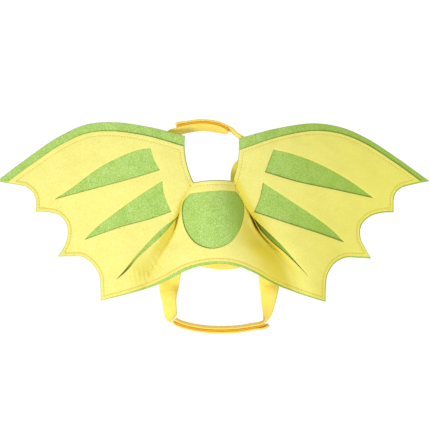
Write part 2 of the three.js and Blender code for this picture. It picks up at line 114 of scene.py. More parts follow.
def stored(tree, name):
    """Output with a value that is stored at each point of the mesh."""
    return add_node(tree, "ShaderNodeAttribute", attribute_name=name).outputs["Fac"]


def new_material(name):
    """An empty material with its output node."""
    material = bpy.data.materials.new(name)
    material.use_nodes = True
    material.node_tree.nodes.clear()
    output = add_node(material.node_tree, "ShaderNodeOutputMaterial")
    return material, material.node_tree, output.inputs["Surface"]


def per_metre(size_mm):
    """Texture scale for a feature of this size."""
    return 1 / (size_mm * MM)


print("mid grey in linear light:", np.round(linear("#808080"), 3).tolist())

# %% Lamp, sky and floor
LAMP_PLACE = (-0.62, -0.64, 1.26)
LAMP_SIDE = 0.5
LAMP_WATTS = 15.2
SKY_STRENGTH = 0.55
FLOOR_SIDE = 6.0
FLOOR_DROP = 0.0003
FLOOR_GLOW = 0.97
PAPER_GRAIN_MM, PAPER_TOOTH_MM = 3.0, 0.2

lamp_data = bpy.data.lights.new("soft_lamp", "AREA")
lamp_data.size = LAMP_SIDE
lamp_data.energy = LAMP_WATTS
lamp = bpy.data.objects.new("soft_lamp", lamp_data)
lamp.location = LAMP_PLACE
lamp.rotation_euler = (-lamp.location).to_track_quat("-Z", "Y").to_euler()
scene.collection.objects.link(lamp)

sky = bpy.data.worlds.new("studio_sky")
sky.use_nodes = True
sky.node_tree.nodes["Background"].inputs["Color"].default_value = linear("#ffffff")
sky.node_tree.nodes["Background"].inputs["Strength"].default_value = SKY_STRENGTH
scene.world = sky

paper, tree, surface = new_material("matt_white_paper")
coords = add_node(tree, "ShaderNodeTexCoord")
grain = add_node(tree, "ShaderNodeTexNoise", {
    "Vector": coords.outputs["Object"], "Scale": per_metre(PAPER_GRAIN_MM)})
tooth = add_node(tree, "ShaderNodeBump", {
    "Height": grain.outputs["Fac"], "Strength": 0.05, "Distance": PAPER_TOOTH_MM * MM})
sheet_of_paper = add_node(tree, "ShaderNodeBsdfPrincipled", {
    "Base Color": linear("#5a5a5a"), "Roughness": 0.9, "Normal": tooth.outputs["Normal"],
    "Emission Color": linear("#ffffff"), "Emission Strength": FLOOR_GLOW})
tree.links.new(sheet_of_paper.outputs["BSDF"], surface)
half = FLOOR_SIDE / 2
floor_mesh = bpy.data.meshes.new("paper_floor")
corners = [(x * half, y * half, -FLOOR_DROP) for x, y in ((-1, -1), (1, -1), (1, 1), (-1, 1))]
floor_mesh.from_pydata(corners, [], [(0, 1, 2, 3)])
floor_mesh.materials.append(paper)
floor = bpy.data.objects.new("paper_floor", floor_mesh)
scene.collection.objects.link(floor)
print("lamp at", LAMP_PLACE, "sky", SKY_STRENGTH)

# %% [markdown]
# ## Felt
# Craft felt is a mat of pressed fibres with no weave. Fibres of several shades lie in it, so the green looks
# heathered and the yellow faintly mottled. It could be painted with one noise, but the shade of the tufts and
# the bumps of single fibres differ in size, so each gets its own noise. The real fibres are about 0.02 mm
# thick; tufts of 1 to 2 mm are what shows at this distance, so the pattern is drawn at that size.
# The sheet also carries painted shade, from a value stored at every point of it: where the felt falls away
# to the right it is painted a deeper colour, and in a tight fold a brown. Towards the right wing tip a second
# stored value paints a fuller colour, which is painted shade too.

# %% Felt material
# Places of the three tuft shades on the noise, and the share of wider patches in it
TUFT_RAMP, PATCH_SHARE = (0.34, 0.5, 0.66), 0.18
# Bumps of the fibres: size, share beside the bumps of the tufts, height and strength
FIBRE_MM, FIBRE_SHARE, FIBRE_HEIGHT_MM, FIBRE_BUMP = 0.7, 0.5, 0.5, 0.55
# Painted shade at which the deep shade is full, and how far a cut rim takes its darker painted shade
FULL_DEEP_SHADE, RIM_SHARE = 0.5, 0.55


def felt_material(name, shades, tuft_mm, patch_mm, side_shade_colour, painted_shade_colours, sewn_shade, painted_rim_shade):
    """Pressed felt with tufts and stitching, and painted shade on the right, on slopes, in creases and on
    rims.
    """
    material, tree, surface = new_material(name)
    coords = add_node(tree, "ShaderNodeTexCoord").outputs["Object"]
    tufts = add_node(tree, "ShaderNodeTexNoise", {
        "Vector": coords, "Scale": per_metre(tuft_mm), "Detail": 3.0, "Roughness": 0.65, "Distortion": 0.6})
    patches = add_node(tree, "ShaderNodeTexNoise", {
        "Vector": coords, "Scale": per_metre(patch_mm), "Detail": 2.0, "Roughness": 0.5})
    both = blend(tree, PATCH_SHARE, tufts.outputs["Fac"], patches.outputs["Fac"])
    shade = add_node(tree, "ShaderNodeValToRGB", {"Fac": both})
    ramp = shade.color_ramp.elements
    ramp.new(TUFT_RAMP[1])
    for element, place, colour in zip(ramp, TUFT_RAMP, shades):
        element.position = place
        element.color = linear(colour)
    colour = blend(tree, stored(tree, "sewn"), shade.outputs["Color"], linear(sewn_shade), "RGBA")
    # Painted shade: a fuller colour towards the right wing tip
    colour = blend(tree, stored(tree, "turned"), colour, linear(side_shade_colour), "RGBA")
    # Painted shade: the deep shade on slopes that fall to the right, then brown in tight creases
    painted_shade = stored(tree, "painted_shade")
    for painted_colour, low, high in zip(painted_shade_colours, (0.0, FULL_DEEP_SHADE), (FULL_DEEP_SHADE, 1.0)):
        share = add_node(tree, "ShaderNodeMapRange", {"Value": painted_shade, "From Min": low, "From Max": high})
        colour = blend(tree, share.outputs["Result"], colour, linear(painted_colour), "RGBA")
    # Painted shade: a darker shade on every cut rim
    rim = scaled(tree, stored(tree, "rim"), RIM_SHARE)
    colour = blend(tree, rim, colour, linear(painted_rim_shade), "RGBA")
    fibres = add_node(tree, "ShaderNodeTexNoise", {
        "Vector": coords, "Scale": per_metre(FIBRE_MM), "Detail": 3.0, "Roughness": 0.7, "Distortion": 1.2})
    height = blend(tree, FIBRE_SHARE, tufts.outputs["Fac"], fibres.outputs["Fac"])
    bump = add_node(tree, "ShaderNodeBump", {
        "Height": height, "Strength": FIBRE_BUMP, "Distance": FIBRE_HEIGHT_MM * MM})
    roughness = add_node(tree, "ShaderNodeMapRange", {
        "Value": fibres.outputs["Fac"], "To Min": 0.86, "To Max": 1.0})
    shader = add_node(tree, "ShaderNodeBsdfPrincipled", {
        "Base Color": colour, "Roughness": roughness.outputs["Result"],
        "Normal": bump.outputs["Normal"], "IOR": 1.45, "Specular IOR Level": 0.15,
        "Sheen Weight": 0.12, "Sheen Roughness": 0.6})
    tree.links.new(shader.outputs["BSDF"], surface)
    return material


# After the tuft shades: painted shade towards the right tip, painted deep and crease shades, the stitches'
# tint, painted rim shade
green_felt = felt_material(
    "green_pressed_felt", ("#8fb549", "#aed067", "#cbe596"), 1.25, 14.0, "#9abb30",
    ("#98b73e", "#56640e"), "#aed066", "#93b04c")
yellow_felt = felt_material(
    "yellow_pressed_felt", ("#ebe274", "#f2eb84", "#f6f098"), 1.5, 20.0, "#f0e948",
    ("#e4d03a", "#76560a"), "#e3cb44", "#ece27c")
print("felts:", green_felt.name, yellow_felt.name)

# %% [markdown]
# ## Cut lines
# The felt is a flat shape that was drawn, cut and then laid down, so it starts here as lines on a plane, in
# millimetres: smooth curves through a few points for the edges, the scallops and the windows, and arcs for
# the neck. Tracing them as meshes by hand would work as well, but lines can be moved in and out by an exact
# width, which is how the front, the rounded rim and the stitching follow the same edges.

# %% Tables of the cut lines
# Leading edges from neck corner to wing tip: x, y, width of green that shows there
LEADING_LEFT = [
    (-27.3, 88.3, 10.2), (-63.5, 97.6, 9.2), (-99.0, 102.6, 9.0), (-126.0, 100.6, 8.8),
    (-153.0, 89.2, 8.3), (-185.0, 68.2, 7.9), (-216.5, 44.7, 7.4)]
LEADING_RIGHT = [
    (25.0, 85.9, 11.0), (62.0, 95.8, 8.7), (99.0, 101.4, 7.6), (127.0, 97.9, 6.6), (153.0, 87.3, 5.8),
    (184.0, 67.9, 5.4), (216.5, 44.7, 5.4)]
# Trailing edges from wing tip to tail corner: x, y, and 1 at the corners between the scallops
TRAILING_LEFT = [
    (-216.5, 44.7, 1), (-200.7, 42, 0), (-188.1, 40, 1), (-181.9, 35.7, 0), (-177.8, 29.5, 0),
    (-176.8, 22, 0), (-177.1, 14.4, 1), (-165.2, 13.9, 0), (-153.8, 10.9, 0), (-146.2, 2.1, 0),
    (-145.2, -9.6, 0), (-148.9, -20.8, 0), (-155.1, -30.6, 1), (-142.5, -30.3, 0), (-129.7, -31, 0),
    (-119.7, -38.5, 0), (-113.2, -49.2, 0), (-112.2, -61.7, 0), (-112.2, -74.6, 1)]
TRAILING_RIGHT = [
    (216.5, 44.7, 1), (202.5, 42.1, 0), (189.1, 38.7, 1), (183.5, 34.4, 0), (180.6, 27.9, 0),
    (180.3, 20.9, 0), (180.4, 13.7, 1), (168.3, 13, 0), (156.9, 9.4, 0), (148.2, 1, 0), (147.1, -11, 0),
    (152, -22, 0), (158, -32.5, 1), (145.2, -31.8, 0), (131.9, -31.8, 0), (120.3, -38, 0),
    (113.8, -49.2, 0), (112.4, -62.3, 0), (112.4, -75.8, 1)]
# Tail edge: x, y
TAIL = [
    (-112.2, -74.6), (-62.6, -61.1), (-43.5, -53), (-24.5, -42.9), (-7.8, -38.2), (7.9, -36.9),
    (23.5, -39), (41.3, -46.4), (60.3, -57.1), (84.5, -66.9), (112.4, -75.8)]
# Neck opening: the neckline's corners, and how far the three edges curve into the felt
NECK_LEFT, NECK_RIGHT = (-18.8, 42.8), (19.4, 44.3)
NECK_CURVES = (2.3, -1.4, 3.4)
# Windows, the wings' from their outer tip and the back panel's last: x, y, and 1 at the corners
LEFT_UPPER_WINDOW = [
    (-157.4, 26.8, 1), (-139.1, 38.4, 0), (-119.6, 52.7, 0), (-102.8, 62.8, 0), (-84.8, 70.8, 0),
    (-70.4, 75.4, 0), (-60.9, 76.3, 1), (-58, 66.3, 0), (-51.9, 55, 1), (-77.8, 47.3, 0), (-110.8, 38.8, 0)]
LEFT_MIDDLE_WINDOW = [
    (-127.4, -13.5, 1), (-116.7, -2.5, 0), (-97.6, 12.4, 0), (-74, 28.8, 0), (-49.6, 44.3, 1),
    (-47.7, 31, 0), (-40.7, 14.4, 1), (-60.3, 7.5, 0), (-91.9, -1.1, 0)]
LEFT_SLIT_WINDOW = [
    (-96, -53, 1), (-87.3, -43.5, 0), (-75.6, -29.3, 0), (-63.6, -16, 0), (-50.8, -3, 0), (-34.6, 9.2, 1),
    (-42.2, -0.2, 0), (-52.4, -11.2, 0), (-64.5, -22.1, 0), (-73.7, -30.4, 0), (-85.3, -44.2, 0)]
RIGHT_UPPER_WINDOW = [
    (159.4, 28, 1), (144.4, 39.1, 0), (123.8, 51.7, 0), (99.4, 63.5, 0), (75.4, 71.5, 0), (59.5, 75, 1),
    (54.7, 62.8, 0), (50.9, 52.9, 1), (81.9, 43.9, 0), (116.3, 36.9, 0)]
RIGHT_MIDDLE_WINDOW = [
    (130.4, -16.1, 1), (118.9, -4.5, 0), (101.2, 8.8, 0), (75.1, 25.9, 0), (49.1, 42.6, 1), (46, 28, 0),
    (40.4, 14, 1), (73.1, 3, 0), (103.6, -6.8, 0)]
RIGHT_SLIT_WINDOW = [
    (94.5, -49.4, 1), (82.1, -35.4, 0), (69.6, -20.8, 0), (54.6, -6, 0), (39.6, 8.3, 1), (45.6, -2.1, 0),
    (56.4, -14, 0), (71.4, -26.8, 0), (81.3, -36.2, 0)]
PANEL_WINDOW = [
    (-22.4, 31.9, 1), (-28.7, 24.3, 0), (-30.5, 13, 0), (-26.7, -4.2, 0), (-16.5, -16.9, 0),
    (-0.4, -21.7, 0), (16.6, -15.9, 0), (26.9, -1.9, 0), (30.9, 15.9, 0), (28.9, 25.3, 0), (22.6, 34.1, 1),
    (10.8, 34.9, 0), (-6.5, 33.8, 0)]
WINDOWS = [
    LEFT_UPPER_WINDOW, LEFT_MIDDLE_WINDOW, LEFT_SLIT_WINDOW, RIGHT_UPPER_WINDOW,
    RIGHT_MIDDLE_WINDOW, RIGHT_SLIT_WINDOW, PANEL_WINDOW]
# How far the front stays back from the backing on each kind of edge, and along the tail: x, width
SET_BACK = {"trailing": 0.8, "leading": 0.0, "neck": 0.6}
TAIL_SET_BACK = ((-112.2, -90.0, -70.0, -40.0, 112.4), (0.9, 1.3, 2.1, 3.4, 1.3))
# Out on the right wing the front was sewn on a little higher: x, and by how much
RIGHT_SLIP = ((110.0, 122.0), (0.0, 0.8))
# How far the stitching stays in from the front's edge, on each kind of edge and on the right leading edge
STITCH_IN = {"trailing": 2.8, "tail": 2.8, "leading": 4.6, "neck": 3.8}
RIGHT_STITCH_IN = 3.2
print("windows:", len(WINDOWS))

# %% Curves, arcs and even steps
# Steps along the cut lines and along the stitching
EDGE_STEP, LINE_STEP = 1.3, 0.5
# A smaller bulge than this is a straight line, and this share of a width counts as clear of an edge
STRAIGHT, CLEAR_SHARE = 0.05, 0.985


def unit(vectors):
    """The same directions with a length of one."""
    return vectors / np.linalg.norm(vectors, axis=1, keepdims=True)


def distances(points):
    """How far along its line each point is from the first."""
    return np.concatenate([[0], np.cumsum(np.linalg.norm(np.diff(points, axis=0), axis=1))])


def cubic(start, rise, leave, arrive, t):
    """A cubic curve that rises from a start, with a given slope at both ends."""
    return start + t * (leave + t * (3 * rise - 2 * leave - arrive + t * (leave + arrive - 2 * rise)))


def smooth_path(points, steps):
    """Points on a smooth curve through a row of points, so many steps to each span."""
    p = np.asarray(points, float)
    p = np.vstack([2 * p[0] - p[1], p, 2 * p[-1] - p[-2]])
    spans = len(p) - 3
    at = np.linspace(0, spans, spans * steps + 1)
    k = np.minimum(at.astype(int), spans - 1)
    t = (at - k)[:, None]
    a, b, c, d = p[k], p[k + 1], p[k + 2], p[k + 3]
    ab, bc, cd = (np.sqrt(np.linalg.norm(q - r, axis=1, keepdims=True)) for q, r in ((b, a), (c, b), (d, c)))
    leave = ((b - a) / ab - (c - a) / (ab + bc) + (c - b) / bc) * bc
    arrive = ((c - b) / bc - (d - b) / (bc + cd) + (d - c) / cd) * bc
    return cubic(b, c - b, leave, arrive, t)


def evenly(points, step):
    """The same open line with its points at equal steps."""
    points = np.asarray(points, float)
    at = distances(points)
    places = np.linspace(0, at[-1], max(round(at[-1] / step), 1) + 1)
    return np.column_stack([np.interp(places, at, points[:, k]) for k in range(points.shape[1])])


def arc(start, end, bulge):
    """A circular arc that stands off its chord by bulge, to the left of travel."""
    start, end = np.array(start[:2], float), np.array(end[:2], float)
    if abs(bulge) < STRAIGHT:
        return evenly([start, end], EDGE_STEP)
    half = np.linalg.norm(end - start) / 2
    radius = (half ** 2 + bulge ** 2) / (2 * bulge)
    chord = (end - start) / (2 * half)
    left = np.array([-chord[1], chord[0]])
    centre = (start + end) / 2 + left * (bulge - radius)
    sweep = 4 * math.atan(bulge / half)
    turn = -sweep * np.linspace(0, 1, max(round(abs(sweep * radius) / EDGE_STEP), 2) + 1)
    arm = start - centre
    return centre + np.column_stack([
        arm[0] * np.cos(turn) - arm[1] * np.sin(turn), arm[0] * np.sin(turn) + arm[1] * np.cos(turn)])


def joined(lines):
    """Open lines that meet end to end, as one closed loop."""
    return np.vstack([line[:-1] for line in lines])


def nearest(points, places):
    """Distance from each point to the nearest of some places, and which one that is."""
    finder = kdtree.KDTree(len(places))
    for k, (x, y) in enumerate(places):
        finder.insert((x, y, 0), k)
    finder.balance()
    found = [finder.find((x, y, 0))[1:] for x, y in points]
    return np.array([far for _, far in found]), np.array([k for k, _ in found])


def clear_of(points, loop, widths):
    """True for points that keep clear of every edge of a loop by that edge's own width."""
    ahead = np.roll(loop, -1, axis=0) - loop
    gap = points[:, None] - loop
    along = np.clip((gap * ahead).sum(axis=2) / (ahead ** 2).sum(axis=1), 0, 1)
    far = np.linalg.norm(gap - along[..., None] * ahead, axis=2)
    return np.all(far >= CLEAR_SHARE * widths, axis=1)


print("an arc of", len(arc((0, 0), (40, 0), 10)), "points")

# %% The backing's outline, anticlockwise from the left wing tip
CURVE_STEPS = 24


def smooth_edge(rows):
    """A smooth edge through a row of points."""
    return evenly(smooth_path([row[:2] for row in rows], CURVE_STEPS), EDGE_STEP)


def cornered_edge(rows):
    """An edge that is smooth from each corner to the next, as on a scalloped wing."""
    corners = [k for k, row in enumerate(rows) if row[2]]
    runs = [smooth_edge(rows[a:b + 1]) for a, b in zip(corners, corners[1:])]
    return np.vstack([joined(runs), runs[-1][-1:]])


neck_edges = [
    arc(LEADING_RIGHT[0], NECK_RIGHT, NECK_CURVES[0]),
    arc(NECK_RIGHT, NECK_LEFT, NECK_CURVES[1]),
    arc(NECK_LEFT, LEADING_LEFT[0], NECK_CURVES[2])]
edges = [
    ("trailing", cornered_edge(TRAILING_LEFT)),
    ("tail", smooth_edge(TAIL)),
    ("trailing", cornered_edge(TRAILING_RIGHT)[::-1]),
    ("leading", smooth_edge(LEADING_RIGHT)[::-1]),
    ("neck", np.vstack([joined(neck_edges), neck_edges[-1][-1:]])),
    ("leading", smooth_edge(LEADING_LEFT))]
backing_loop = joined([line for _, line in edges])
edge_kinds = np.concatenate([[kind] * (len(line) - 1) for kind, line in edges])
print("backing outline:", len(backing_loop), "points")

# %% [markdown]
# The front is the same shape moved in a little, less the green band along each leading edge. Every edge moves
# in by its own width, and the corners are found again where the moved edges meet. Then the band's inner line
# is laid across that shape, and the front keeps what is below it.

# %% The front's outline and its windows
# Sine of the angle below which two edges count as parallel, and the smallest one to divide by
PARALLEL, TINY_TURN = 0.02, 1e-9
BAND_OVERHANG = 30.0


def cross(p, q):
    """How far one direction turns to the left of another: the product of their lengths and the sine."""
    return p[..., 0] * q[..., 1] - p[..., 1] * q[..., 0]


def directions(loop):
    """Unit direction of each edge of a closed loop."""
    return unit(np.roll(loop, -1, axis=0) - loop)


def left_of(along):
    """The direction to the left of each direction."""
    return np.column_stack([-along[:, 1], along[:, 0]])


def set_back(loop, widths):
    """A closed loop with each edge moved in by its own width."""
    along = directions(loop)
    start = loop + left_of(along) * widths[:, None]
    before, along_before = np.roll(start, 1, axis=0), np.roll(along, 1, axis=0)
    turn = cross(along_before, along)
    meets = np.abs(turn) > PARALLEL
    reach = cross(start - before, along) / np.where(meets, turn, 1)
    return np.where(meets[:, None], before + along_before * reach[:, None], start)


def crossings(line, loop):
    """Where an open line crosses a loop, in order: place on the line, place on the loop, point."""
    step, side = np.diff(line, axis=0)[:, None], (np.roll(loop, -1, axis=0) - loop)[None]
    gap = loop[None] - line[:-1, None]
    turn = cross(step, side)
    turn = np.where(np.abs(turn) < TINY_TURN, TINY_TURN, turn)
    t, u = cross(gap, side) / turn, cross(gap, step) / turn
    hits = np.argwhere((t >= 0) & (t < 1) & (u >= 0) & (u < 1))
    return sorted((i + t[i, j], j + u[i, j], tuple(line[i] + t[i, j] * step[i, 0])) for i, j in hits)


def band_line(rows, side):
    """Inner line of the green band along a leading edge, run on past both ends."""
    p = np.array([row[:2] for row in rows])
    along = unit(np.vstack([p[1:2] - p[:1], p[2:] - p[:-2], p[-1:] - p[-2:-1]]))
    width = np.array([row[2] for row in rows])[:, None]
    inner = smooth_path(p + side * width * left_of(along), CURVE_STEPS)
    first, last = inner[0] - inner[1], inner[-1] - inner[-2]
    first, last = (end * BAND_OVERHANG / np.linalg.norm(end) for end in (first, last))
    return evenly(np.vstack([inner[:1] + first, inner, inner[-1:] + last]), EDGE_STEP)


def stretch(points, start, end):
    """The points of a line between two places on it."""
    return points[math.floor(start) + 1:math.floor(end) + 1]


widths = np.array([SET_BACK.get(kind, 0) for kind in edge_kinds])
tail_width = np.interp(backing_loop[:, 0], *TAIL_SET_BACK)
widths = np.where(edge_kinds == "tail", tail_width, widths)
blank = set_back(backing_loop, widths)
unfolded = clear_of(blank, backing_loop, widths)
blank, blank_kinds = blank[unfolded], edge_kinds[unfolded]
blank[:, 1] += np.interp(blank[:, 0], *RIGHT_SLIP)
line_left, line_right = band_line(LEADING_LEFT, 1), band_line(LEADING_RIGHT, -1)
(neck_l, loop_d, point_d), (tip_l, loop_a, point_a) = crossings(line_left, blank)
(neck_r, loop_c, point_c), (tip_r, loop_b, point_b) = crossings(line_right, blank)
front_parts = [
    (np.vstack([point_a, stretch(blank, loop_a, loop_b)]), stretch(blank_kinds, loop_a, loop_b)),
    (np.vstack([point_b, stretch(line_right, neck_r, tip_r)[::-1]]), None),
    (np.vstack([point_c, stretch(blank, loop_c, loop_d)]), stretch(blank_kinds, loop_c, loop_d)),
    (np.vstack([point_d, stretch(line_left, neck_l, tip_l)]), None)]
front_loop = np.vstack([points for points, _ in front_parts])
front_kinds = np.concatenate([
    ["leading"] * len(points) if kinds is None else np.concatenate([kinds[:1], kinds])
    for points, kinds in front_parts])


def window_loop(rows):
    """A window's edge as a loop that runs clockwise, so that the felt is on its left."""
    loop = cornered_edge(rows + rows[:1])[:-1]
    area = cross(loop, np.roll(loop, -1, axis=0)).sum()
    return loop[::-1] if area > 0 else loop


window_loops = [window_loop(rows) for rows in WINDOWS]
print("front outline:", len(front_loop), "points; window points:", [len(loop) for loop in window_loops])

# %% [markdown]
# ## How the felt lies
# Two sewn darts pull the back panel into an arch. Beside each dart the wing rises to a soft crest and then
# runs down to the table. A cloth simulation would settle the sheet somewhere near this, but not in the same
# folds, so its height is written as a function: cross sections from tail to neck, blended smoothly, plus low
# waves for the unevenness of pressed felt and a few short wrinkles by the tail.

# %% Height of the felt
# From tail to neck: y, seam at left and right, their heights, ridge height, crest beyond the seams, its
# height at left and right, reach of the wings
SECTIONS = np.array([
    (-84, -70.0, 88.0, 4.5, 3.7, 18.0, 12.0, 6.0, 4.0, 112),
    (-60, -66.5, 82.0, 7.0, 6.2, 21.0, 13.0, 9.5, 7.0, 128),
    (-42, -59.0, 75.0, 8.0, 8.4, 24.0, 13.0, 12.0, 9.5, 142),
    (-27, -51.2, 64.5, 8.4, 10.2, 26.7, 13.0, 14.0, 12.0, 152),
    (-14, -43.0, 52.0, 8.6, 11.2, 28.5, 12.0, 15.7, 14.2, 159),
    (-3, -38.0, 43.8, 10.8, 12.5, 29.8, 8.0, 17.3, 16.0, 165),
    (10, -34.3, 37.4, 16.0, 14.5, 31.0, 5.0, 19.0, 18.0, 172),
    (28, -27.8, 27.4, 21.2, 19.0, 31.8, 4.5, 21.7, 21.0, 188),
    (45, -20.2, 20.6, 23.4, 22.0, 32.0, 4.5, 24.0, 23.5, 202),
    (80, -13.0, 14.0, 24.0, 22.5, 34.0, 8.0, 26.0, 26.0, 206),
    (112, -9.0, 10.0, 23.0, 22.5, 34.0, 9.0, 25.0, 25.0, 206)])
# Sewn crease along each seam: y, depth on the left, depth on the right
CREASES = np.array([
    (-60, 0.0, 0.0), (-45, 0.2, 0.0), (-28, 0.6, 0.4), (-22, 0.8, 0.9), (-15, 1.0, 1.25), (-7, 1.4, 1.5),
    (1, 2.3, 2.5), (8, 2.6, 2.3), (14, 1.4, 0.9), (30, 0.5, 0.6), (46, 0.3, 0.4), (60, 0.0, 0.0)])
CREASE_HALF = 2.4
# Power of the curve by which the left bank climbs from its seam, steep at first
LEFT_CLIMB = 1.5
# Right valley towards the tail, where it is not sewn: rounding begins at y, is full at y, half width, rise
VALLEY_ROUND = (-20.0, -34.0, 8.0, 0.9)
# Unevenness: wavelength, direction in degrees, phase, height
WAVES = [
    (31, 20, 0.4, 0.16), (23, 95, 1.9, 0.14), (17, 150, 4.0, 0.10), (12.5, 60, 2.2, 0.06),
    (9.1, 115, 5.1, 0.05)]
# Height over the table from which the waves and wrinkles are full
WAVES_FROM = 4.0
# Wrinkles: x, y, direction across them in degrees, wavelength, reach, height
WRINKLES = [
    (-74, -47, 8, 4.4, 7, 0.42), (-65, -50, 24, 5.2, 6, 0.3), (-56, -38, 40, 6.5, 8, 0.3),
    (-101, -63, -35, 7.0, 9, 0.3)]
# Half the distance over which a slope is measured
SLOPE_STEP = 0.4


def ease(t):
    """Smooth step from 0 to 1."""
    s = np.clip(t, 0, 1)
    return s * s * (3 - 2 * s)


def sections_at(y):
    """The columns of the sections at each y, on a smooth curve through the rows."""
    rows = SECTIONS[:, 0]
    k = np.clip(np.searchsorted(rows, y, side="right") - 1, 0, len(rows) - 2)
    before, start, end, after = (SECTIONS[np.clip(k + n, 0, len(rows) - 1)] for n in (-1, 0, 1, 2))
    span = (end - start)[:, :1]
    t = (y[:, None] - start[:, :1]) / span
    leave = (end - before) / (end - before)[:, :1] * span
    arrive = (after - start) / (after - start)[:, :1] * span
    return cubic(start, end - start, leave, arrive, t).T


def lying_height(x, y):
    """Height of the felt's underside from its folds and creases alone."""
    _, seam_l, seam_r, low_l, low_r, ridge_z, crest, high_l, high_r, reach = sections_at(y)
    middle, half = (seam_l + seam_r) / 2, (seam_r - seam_l) / 2
    seam_z, crest_z = np.where(x < middle, low_l, low_r), np.where(x < middle, high_l, high_r)
    across = np.abs(x - middle) / half
    arch = seam_z + (ridge_z - seam_z) * np.cos(np.minimum(across, 1) * math.pi / 2)
    seam = np.where(x < middle, -seam_l, seam_r)
    out = np.maximum(np.abs(x) - seam, 0)
    climb = np.where(x < middle, 1 - np.maximum(1 - out / crest, 0) ** LEFT_CLIMB, ease(out / crest))
    bank = seam_z + (crest_z - seam_z) * climb
    wing = crest_z * (1 - ease((out - crest) / (reach - seam - crest)))
    folds = np.where(across < 1, arch, np.where(out < crest, bank, wing))
    deep_l, deep_r = (np.interp(y, CREASES[:, 0], CREASES[:, k]) for k in (1, 2))
    crease_l = deep_l * np.maximum(1 - np.abs(x - seam_l) / CREASE_HALF, 0)
    crease_r = deep_r * np.maximum(1 - np.abs(x - seam_r) / CREASE_HALF, 0)
    begin, full, half_width, rise = VALLEY_ROUND
    near_seam = np.maximum(1 - np.abs(x - seam_r) / half_width, 0)
    rounded = rise * ease((begin - y) / (begin - full)) * near_seam ** 2
    return folds - crease_l - crease_r + rounded


def felt_height(x, y):
    """Height of the felt's underside over the table, with its waves and wrinkles."""
    x, y = np.atleast_1d(x).astype(float), np.atleast_1d(y).astype(float)
    z = lying_height(x, y)
    uneven = np.zeros_like(z)
    for length, direction, phase, height in WAVES:
        turn = math.radians(direction)
        uneven += height * np.sin(2 * math.pi * (x * math.cos(turn) + y * math.sin(turn)) / length + phase)
    for px, py, direction, length, reach, height in WRINKLES:
        turn = math.radians(direction)
        across = (x - px) * math.cos(turn) + (y - py) * math.sin(turn)
        fade = np.exp(-((x - px) ** 2 + (y - py) ** 2) / reach ** 2)
        uneven += height * np.cos(2 * math.pi * across / length) * fade
    return z + uneven * ease(z / WAVES_FROM)


def felt_slope(x, y):
    """Slope of the felt along x and along y."""
    rise_x = felt_height(x + SLOPE_STEP, y) - felt_height(x - SLOPE_STEP, y)
    rise_y = felt_height(x, y + SLOPE_STEP) - felt_height(x, y - SLOPE_STEP)
    return rise_x / (2 * SLOPE_STEP), rise_y / (2 * SLOPE_STEP)


def on_felt(points, level):
    """Points lifted to a level over the felt's underside, measured square to the felt."""
    x, y = points[:, 0], points[:, 1]
    along_x, along_y = felt_slope(x, y)
    return np.column_stack([x, y, felt_height(x, y) + level * np.sqrt(1 + along_x ** 2 + along_y ** 2)])


print("ridge height in mm:", felt_height(0, 10).round(1), "left crest:", felt_height(-50.5, 10).round(1))

# %% [markdown]
# ## From a cut line to a sheet of felt
# A sheet needs even triangles all over, so that the folds shade smoothly, and finer ones along the sewn
# edges, where the stitching presses a small groove. A grid cut by the outline would leave ragged edges. Here
# points are spread over the shape in a honeycomb, and a Delaunay triangulation joins them to the edge and the
# dart seams. The rim is a few rings round each edge, rounded as cut felt is.

# %% Even triangles inside the cut lines
# Steps of the honeycomb, and how far the fine one reaches from the stitching and the wrinkles
GRID, FINE_GRID, FINE_ZONE = 2.5, 1.2, 5.5
# Room kept round the edges and seams, as a share of the step
CLEAR_OF_EDGE = 0.62
# Lines of points beside each seam, and from where to where the seams run along y
BESIDE_SEAM = (-2.4, -1.2, 1.2, 2.4)
SEAMS_FROM, SEAMS_TO = -80.0, 104.0
# Points nearer than this are one, and a shorter step than this has no direction
WELD, SHORTEST = 1e-5, 1e-6
# Limit to the lengthening of a step in at a corner, the turn of a sharp point, and the rounding near it
MITRE = 0.5
SHARP_TURN, CORNER_SHARE = math.radians(50), 0.2


def inward(loop):
    """At each point of a loop, the step that moves its edges in by one unit."""
    left = left_of(directions(loop))
    both = left + np.roll(left, 1, axis=0)
    both /= np.maximum(np.linalg.norm(both, axis=1, keepdims=True), SHORTEST)
    return both / np.maximum((both * left).sum(axis=1), MITRE)[:, None]


def corner_room(loop, rounding):
    """Share of the rounding that fits at each point of a loop, less towards its sharp points."""
    along = directions(loop)
    before = np.roll(along, 1, axis=0)
    turn = np.arctan2(cross(before, along), (before * along).sum(axis=1))
    sharp = loop[turn > SHARP_TURN]
    if not len(sharp):
        return np.ones((len(loop), 1))
    return np.minimum(CORNER_SHARE * nearest(loop, sharp)[0] / rounding, 1)[:, None]


def inside(points, loops):
    """True for points that an odd number of the loops goes round."""
    x, y = points[:, 0], points[:, 1]
    odd = np.zeros(len(points), bool)
    for loop in loops:
        for (x0, y0), (x1, y1) in zip(loop, np.roll(loop, -1, axis=0)):
            if y0 != y1:
                odd ^= ((y0 <= y) != (y1 <= y)) & (x < x0 + (y - y0) * (x1 - x0) / (y1 - y0))
    return odd


def honeycomb(low, high, step):
    """Points in staggered rows over a rectangle."""
    rows = np.arange(low[1], high[1], step * math.sqrt(3) / 2)
    columns = np.arange(low[0], high[0], step)
    return np.array([(x + (n % 2) * step / 2, y) for n, y in enumerate(rows) for x in columns])


def seam_lines():
    """The two dart seams as lines from tail to neck."""
    y = np.arange(SEAMS_FROM, SEAMS_TO, FINE_GRID)
    return [np.column_stack([sections_at(y)[k], y]) for k in (1, 2)]


